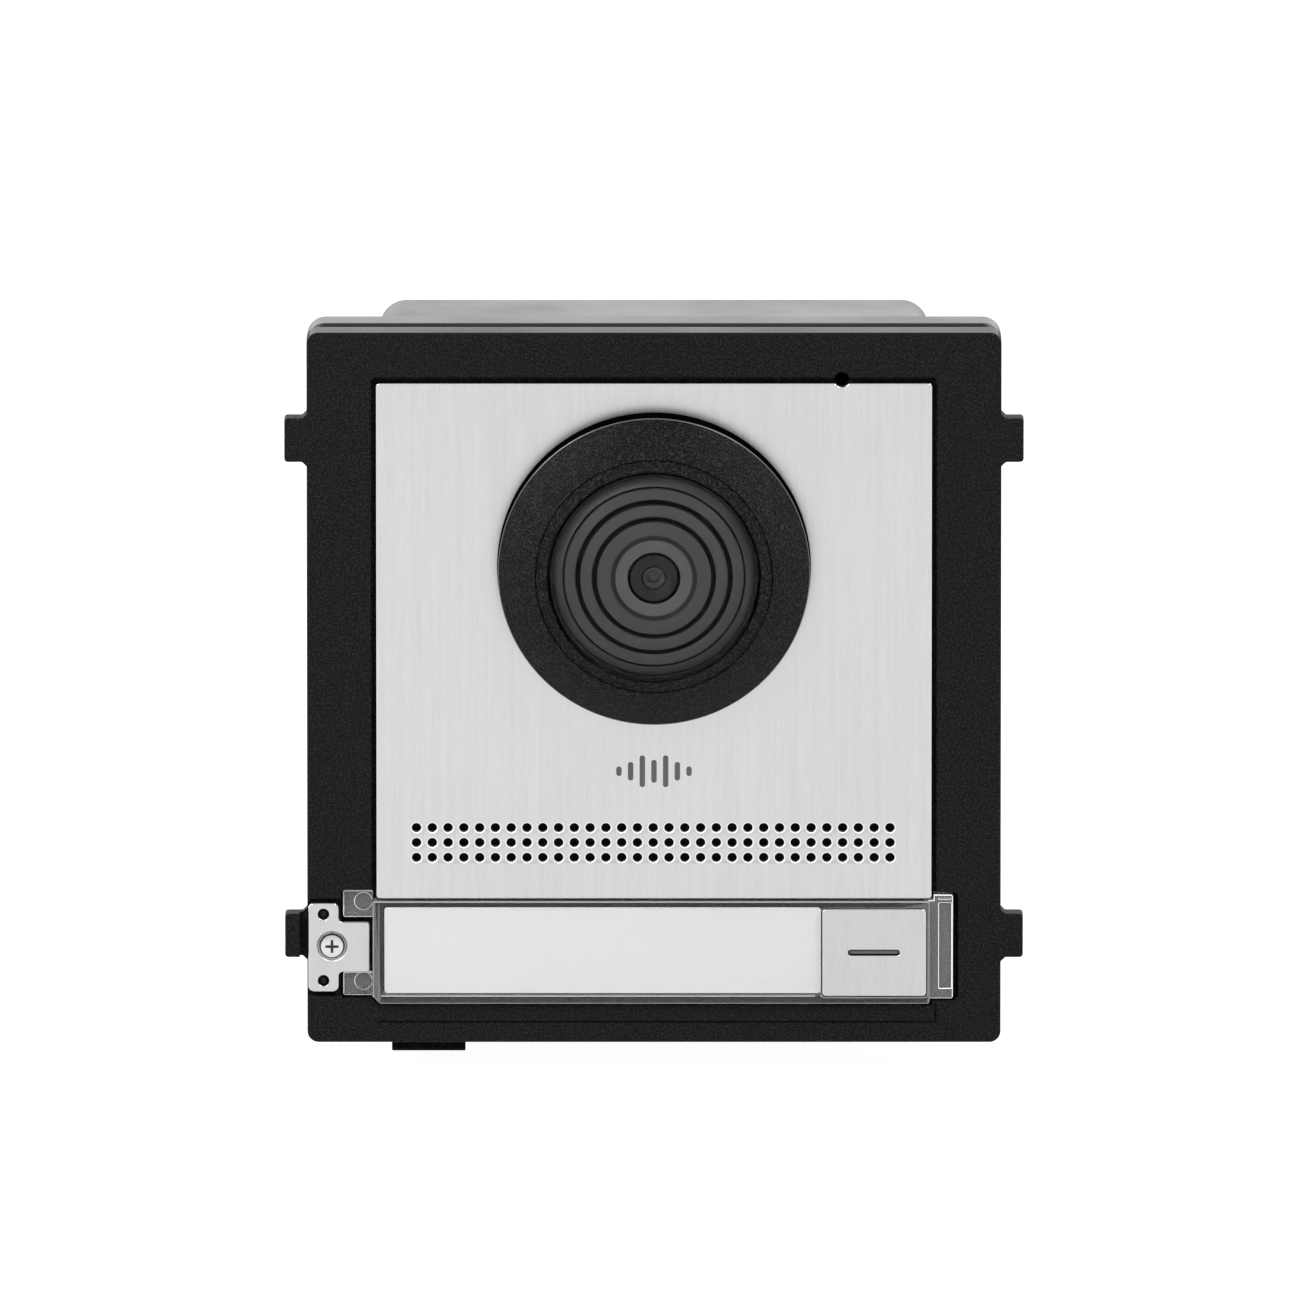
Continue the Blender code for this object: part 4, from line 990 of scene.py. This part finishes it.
def cross_recess(x, z, y_surface, arm, width, depth, facing):
    """A cutter for a tapering cross recess. facing is -1 for a head that faces -Y."""
    cross = []
    for turn in range(4):
        c, s = math.cos(turn * math.pi / 2), math.sin(turn * math.pi / 2)
        for u, v in ((arm, -width / 2), (arm, width / 2), (width / 2, width / 2)):
            cross.append((x + u * c - v * s, z + u * s + v * c))
    deep = [(x + (px - x) * 0.45, z + (pz - z) * 0.45) for px, pz in cross]
    outside, floor = y_surface + facing * 0.5, y_surface - facing * depth
    return shell("cutter", [[(cross, outside), (cross, y_surface), (deep, floor)]])


def screw(name, node, head_radius, head_height, shaft_radius, facing):
    """A pan-head screw with a cross recess. facing is -1 where the head looks to the front."""
    box = BOX[node]
    top, tip = (box.front, box.back) if facing < 0 else (box.back, box.front)
    into = -facing
    turns = [math.pi / 2 * k / 8 for k in range(8)]
    crown = 0.35 * head_height
    profile = [(head_radius * math.sin(t), top + into * crown * (1 - math.cos(t))) for t in turns]
    profile += [(head_radius, top + into * head_height * 0.5), (head_radius, top + into * head_height)]
    profile += [(shaft_radius, top + into * head_height)]
    pitch, thread_depth = 0.5, 0.14
    y = top + into * (head_height + 0.3)
    while (tip - y) * into > pitch:
        profile += [(shaft_radius, y), (shaft_radius - thread_depth, y + into * pitch / 2)]
        y += into * pitch
    profile += [(shaft_radius * 0.5, tip), (0, tip)]
    piece = lathe(name, profile, box, 64)
    arm, width, depth = head_radius * 0.62, head_radius * 0.24, head_height * 0.8
    boolean(piece, [cross_recess(box.x, box.z, top, arm, width, depth, facing)])
    finish_piece(piece, SCREW_METAL, "screw_steel", node)

    def in_recess(centre, normal):
        below = abs(centre.y - top)
        steep = below < head_height and abs(normal.y) < 0.9
        at_floor = abs(below - depth) < 0.02
        return reach(centre, box) < arm and (steep or at_floor)

    # Painted shade in the cross recess.
    repaint(piece, SHADE_METAL, in_recess)


# Rear housing


def flared(outline_front, outline_back, y_front, y_back, back):
    """A drafted box between two outlines, with a rounded back edge."""
    edge = reversed(fillet(back, 6))
    rings = [(offset(outline_back, inset), y_back - depth) for inset, depth in edge]
    return shell("box", [[(outline_front, y_front)] + rings])


def rear_housing():
    rim = rectangle(HOUSING.left, HOUSING.bottom, HOUSING.right, HOUSING.top, 2.5, 12)
    flange_back = HOUSING.front + 5.3
    body = slab("rear_tub", rim, HOUSING.front, flange_back, 0.35, 0.35)
    at_flange = rectangle(-36.9, -47.0, 36.9, 47.0, 3.6, 12)
    at_back = rectangle(-36.5, -46.4, 36.5, 46.4, 3.6, 12)
    boolean(body, [flared(at_flange, at_back, flange_back - 1, HOUSING.back, 0.6)], "UNION")
    wall_y = HOUSING.back - 2.0
    cavity = rectangle(-34.6, -43.4, 34.6, 44.6, 2.0, 6)
    cutters = [through(cavity, HOUSING.front - 1, wall_y)]
    for left in (-43.6, 37.0):
        hollow = rectangle(left, -38, left + 6.6, 38, 1.0, 4)
        cutters.append(through(hollow, HOUSING.front - 1, flange_back - 2.2))
    for box in HOUSING_SCREWS:
        cutters.append(through(circle(box.x, box.z, 1.4, 32), HOUSING.front - 1, flange_back + 1))
        cutters.append(pocket_from_back(circle(box.x, box.z, 2.6, 64), flange_back, 2.2))
    for node in ("network_jack", "terminal_block", "left_link_socket", "right_link_socket"):
        cutters.append(through(around(BOX[node], 0.3, 0.4, 4), wall_y - 1, HOUSING.back + 1))
    tamper = BOX["tamper_plunger"]
    tamper_hole = circle(tamper.x, tamper.z, tamper.width / 2 + 0.3, 64)
    cutters.append(through(tamper_hole, wall_y - 1, HOUSING.back + 1))
    latch = BOX["bottom_latch"]
    bay = rectangle(latch.left - 0.6, latch.bottom, latch.right + 0.6, -45.0)
    cutters.append(through(bay, flange_back - 1.0, wall_y - 0.5))
    blank_field = rectangle(-26, -12, 26, 12, 1.5)
    cutters.append(pocket_from_back(blank_field, HOUSING.back, 0.4, 0.2))
    boolean(body, cutters)
    finish_piece(body, HOUSING_BLACK, "housing_black", "rear_housing")


def bottom_latch():
    """The snap arm with its hanging foot, its edges eased."""
    box = BOX["bottom_latch"]
    side = [(box.front, box.bottom + 0.3), (box.front, box.top), (box.back, box.top), (box.back, -47.9)]
    side += [(-17.2, -47.9), (-18.0, -48.7), (-18.0, box.bottom + 0.6)]
    side += [(-18.6, box.bottom), (box.front + 0.3, box.bottom)]
    piece = side_prisms("latch_arm", side, [(box.left, box.right)])
    bevel = piece.modifiers.new("eased", "BEVEL")
    bevel.width = 0.15 * MM
    bevel.segments = 3
    bevel.limit_method = "ANGLE"
    boolean(piece, [])
    # Painted shade: the latch takes a darker copy of the frame plastic.
    finish_piece(piece, LATCH_SHADE_BLACK, "frame_textured_black", "bottom_latch", body="bottom_latch")


def network_jack():
    """The shielded jack: a sheet-metal case round a black insert, with eight sprung contacts."""
    box = BOX["network_jack"]
    floor = box.front + 4.1

    def keyed(margin):
        wide, key = 5.95 + margin, 3.1 + margin
        tip, low, high = box.z - 5.6 - margin, box.z - 3.45 - margin, box.z + 3.45 + margin
        across = (-wide, -key, -key, key, key, wide, wide, -wide)
        return [(box.x + x, z) for x, z in zip(across, (low, low, tip, tip, low, low, high, high))]

    case = slab("jack_case", around(box, 0, 0.5, 4), box.front, box.back, 0.1, 0.25)
    boolean(case, [through(keyed(0.3), box.back - 0.5, box.back + 1)])
    boolean(case, [through(keyed(0.0), floor, box.back + 1)])
    finish_piece(case, SHIELD_METAL, "metal_shield", "network_jack")

    def inside(centre, normal):
        wide, high = abs(centre.x - box.x) < 6.3, abs(centre.z - box.z) < 6.0
        return wide and high and floor - 0.1 < centre.y < box.back - 0.45

    repaint(case, CONNECTOR_BLACK, inside)
    root, tip = (box.back - 2.0, box.z + 3.7), (floor + 0.9, box.z + 0.9)
    wire = [root, tip, (tip[0], tip[1] - 0.25), (root[0], root[1] - 0.25)]
    spans = [(x - 0.23, x + 0.23) for x in spread(box.x, 8, 1.02)]
    contacts = side_prisms("jack_contacts", wire, spans)
    finish_piece(contacts, GOLD, "metal_shield")


def terminal_block():
    """Eight poles: an entry with a metal clamp, and above it a slotted screw down a round hole."""
    box = BOX["terminal_block"]
    entry_depth = 5.2
    poles = spread(box.x, 8, 3.3)
    entry_z, screw_z, entry_floor = box.z - 1.4, box.z + 2.1, box.back - entry_depth
    body = slab("terminal_body", around(box, 0, 0.3, 4), box.front, box.back, 0.1, 0.25)
    entries = [centred(x, entry_z, 2.4, 2.6) for x in poles]
    cutters = [pocket_from_back(entry, box.back, entry_depth, 0.2) for entry in entries]
    cutters += [pocket_from_back(circle(x, screw_z, 1.3, 32), box.back, 1.5) for x in poles]
    for x in poles[1:]:
        seam = rectangle(x - 1.75, box.bottom - 1, x - 1.55, box.top + 1)
        cutters.append(through(seam, box.back - 0.35, box.back + 1))
    boolean(body, cutters)
    finish_piece(body, TERMINAL_GREEN, "terminal_green", "terminal_block")
    seat, face = box.back - 1.7, box.back - 0.7
    heads = [slab("head", circle(x, screw_z, 1.15, 32), seat, face, 0, 0.15) for x in poles]
    screws = boolean(heads[0], heads[1:], "UNION")
    screws.name = "terminal_screws"
    boolean(screws, [through(centred(x, screw_z, 2.6, 0.4), box.back - 1.2, box.back) for x in poles])
    finish_piece(screws, SCREW_METAL, "screw_steel")
    clamp = rectangle(entry_floor - 0.1, entry_z - 1.2, entry_floor + 0.8, entry_z + 1.2)
    clamps = side_prisms("terminal_clamps", clamp, [(x - 1.1, x + 1.1) for x in poles])
    finish_piece(clamps, SHIELD_METAL, "metal_shield")


def link_socket(side):
    """A keyed board socket with four square pins."""
    node = side + "_link_socket"
    box = BOX[node]
    depth = 7.0
    floor = box.back - depth
    body = slab(side + "_socket_body", around(box, 0, 0.3, 4), box.front, box.back, 0.1, 0.2)
    boolean(body, [pocket_from_back(centred(box.x, box.z, 7.6, 3.6, 0.2, 2), box.back, depth, 0.2)])
    key = rectangle(box.x - 1.2, box.z, box.x + 1.2, box.top - 0.5)
    boolean(body, [through(key, box.back - 3.0, box.back + 1)])
    finish_piece(body, CONNECTOR_BLACK, "connector_black", node)
    pin = rectangle(floor - 0.2, box.z - 0.3, box.back - 1.5, box.z + 0.3)
    spans = [(x - 0.3, x + 0.3) for x in spread(box.x, 4, 1.7)]
    pins = side_prisms(side + "_socket_pins", pin, spans)
    finish_piece(pins, GOLD, "metal_shield")


CARRIED_OVER = (
    (RUBBER, "window_seal", "speaker_gasket", "microphone_boot", "button_diaphragm", "housing_seal"),
    (CONNECTOR_BLACK, "lens_holder", "speaker_basket", "button_carrier", "switch_plunger"),
    (CONNECTOR_BLACK, "tamper_plunger"),
    (BOARD, "image_sensor_board", "key_board", "main_board"),
    (HOUSING_BLACK, "camera_back_cover"),
    (CLOTH, "speaker_mesh", "speaker_cone"),
    (SHIELD_METAL, "speaker_magnet"),
    (GROOVE_BLACK, "microphone_capsule"),
    (MILKY, "card_light_guide"),
    (CHIP_BLACK, "switch_body", "processor", "tamper_switch"),
    (SCREW_METAL, "board_screw_1", "board_screw_2", "board_screw_3", "board_screw_4"),
)


def carried_over():
    """CAD nodes whose shape is right as it is only take a finished material."""
    for material, *nodes in CARRIED_OVER:
        for node in nodes:
            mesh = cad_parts[node].data
            mesh.materials.clear()
            mesh.materials.append(material)
            mesh.shade_smooth()
            mesh.set_sharp_from_angle(angle=math.radians(30))


# Studio


CAMERA_ELEVATION = 11.3
CAMERA_DISTANCE = 5.4
VIEW_WIDTH = 0.17246
AIM_RIGHT = -0.53
AIM_UP = 5.09


def camera():
    """A long lens from slightly above, with the object low in the frame."""
    data = bpy.data.cameras.new("camera")
    data.sensor_width = 36.0
    data.lens = data.sensor_width * CAMERA_DISTANCE / VIEW_WIDTH
    data.clip_start = 0.1
    data.clip_end = 60.0
    obj = new_object("camera", data)
    tilt = math.radians(CAMERA_ELEVATION)
    up = Vector((0, math.sin(tilt), math.cos(tilt)))
    aim = Vector((AIM_RIGHT, FRAME.front, 0)) * MM + up * AIM_UP * MM
    back = Vector((0, -math.cos(tilt), math.sin(tilt)))
    obj.location = aim + back * CAMERA_DISTANCE
    obj.rotation_euler = (math.pi / 2 - tilt, 0, 0)
    bpy.context.scene.camera = obj


def softbox(name, location, width, height, power):
    """A rectangular light that looks at the middle of the module."""
    data = bpy.data.lights.new(name, "AREA")
    data.shape = "RECTANGLE"
    data.size = width
    data.size_y = height
    data.energy = power
    obj = new_object(name, data)
    obj.location = location
    obj.rotation_euler = (-Vector(location)).to_track_quat("-Z", "Y").to_euler()


def studio():
    """White surroundings, brighter behind and dimmer above, and a pale floor under the latch."""
    world = bpy.data.worlds.new("studio")
    world.use_nodes = True
    tree = world.node_tree
    background = tree.nodes["Background"]
    background.inputs["Color"].default_value = WHITE
    place = add_node(tree, "TexCoord").outputs["Generated"]
    parts = add_node(tree, "SeparateXYZ", Vector=place)
    factors = []
    for axis, start, end, low, high in (("Y", -0.7, 0.6, 0.72, 1.38), ("Z", 0.05, 0.95, 1.0, 0.75)):
        ends = {"From_Min": start, "From_Max": end, "To_Min": low, "To_Max": high}
        level = add_node(tree, "MapRange", Value=parts.outputs[axis], **ends)
        level.interpolation_type = "SMOOTHSTEP"
        factors.append(level.outputs["Result"])
    product = add_node(tree, "Math")
    product.operation = "MULTIPLY"
    for socket, factor in zip(product.inputs, factors):
        tree.links.new(factor, socket)
    in_camera = add_node(tree, "LightPath").outputs["Is Camera Ray"]
    seen = add_node(tree, "Mix", Factor=in_camera, A=product.outputs["Value"], B=1.0)
    tree.links.new(seen.outputs["Result"], background.inputs["Strength"])
    bpy.context.scene.world = world
    bpy.context.scene.view_settings.view_transform = "Standard"

    grey = (0.24, 0.24, 0.24)
    paint = Paint("floor_pale", grey, 0.9, Specular_IOR_Level=0.0, Emission_Color=WHITE)
    in_camera = paint.node("LightPath").outputs["Is Camera Ray"]
    paint.feed(paint.remap(in_camera, 0.60, 0.96, 0.0, 1.0), "Emission Strength")
    paint.shade(paint.noise(3, 2.0), 0.02)
    bpy.ops.mesh.primitive_plane_add(size=14, location=(0, 0, (BOX["bottom_latch"].bottom - 0.2) * MM))
    floor = bpy.context.object
    floor.name = "floor"
    floor.data.materials.append(paint.material)

    softbox("near_left", (-0.30, -0.34, 0.30), 0.2, 0.2, 1.6)
    softbox("right", (0.62, -0.62, 1.02), 0.45, 0.45, 10.5)
    softbox("back_left", (-0.85, 0.75, 0.20), 0.7, 0.4, 2.6)


front_frame()
faceplate()
printed_mark()
camera_ring()
camera_bezel()
window_dome()
lens_baffle()
lens()
name_cover()
name_card()
call_button()
retainer_bracket()
screw("bracket_screw", "retainer_screw", 1.49, 0.45, 0.6, -1)
rear_housing()
for number in range(1, 5):
    screw(f"rear_screw_{number}", f"housing_screw_{number}", 2.3, 1.6, 1.1, 1)
bottom_latch()
network_jack()
terminal_block()
link_socket("left")
link_socket("right")
carried_over()
studio()
camera()
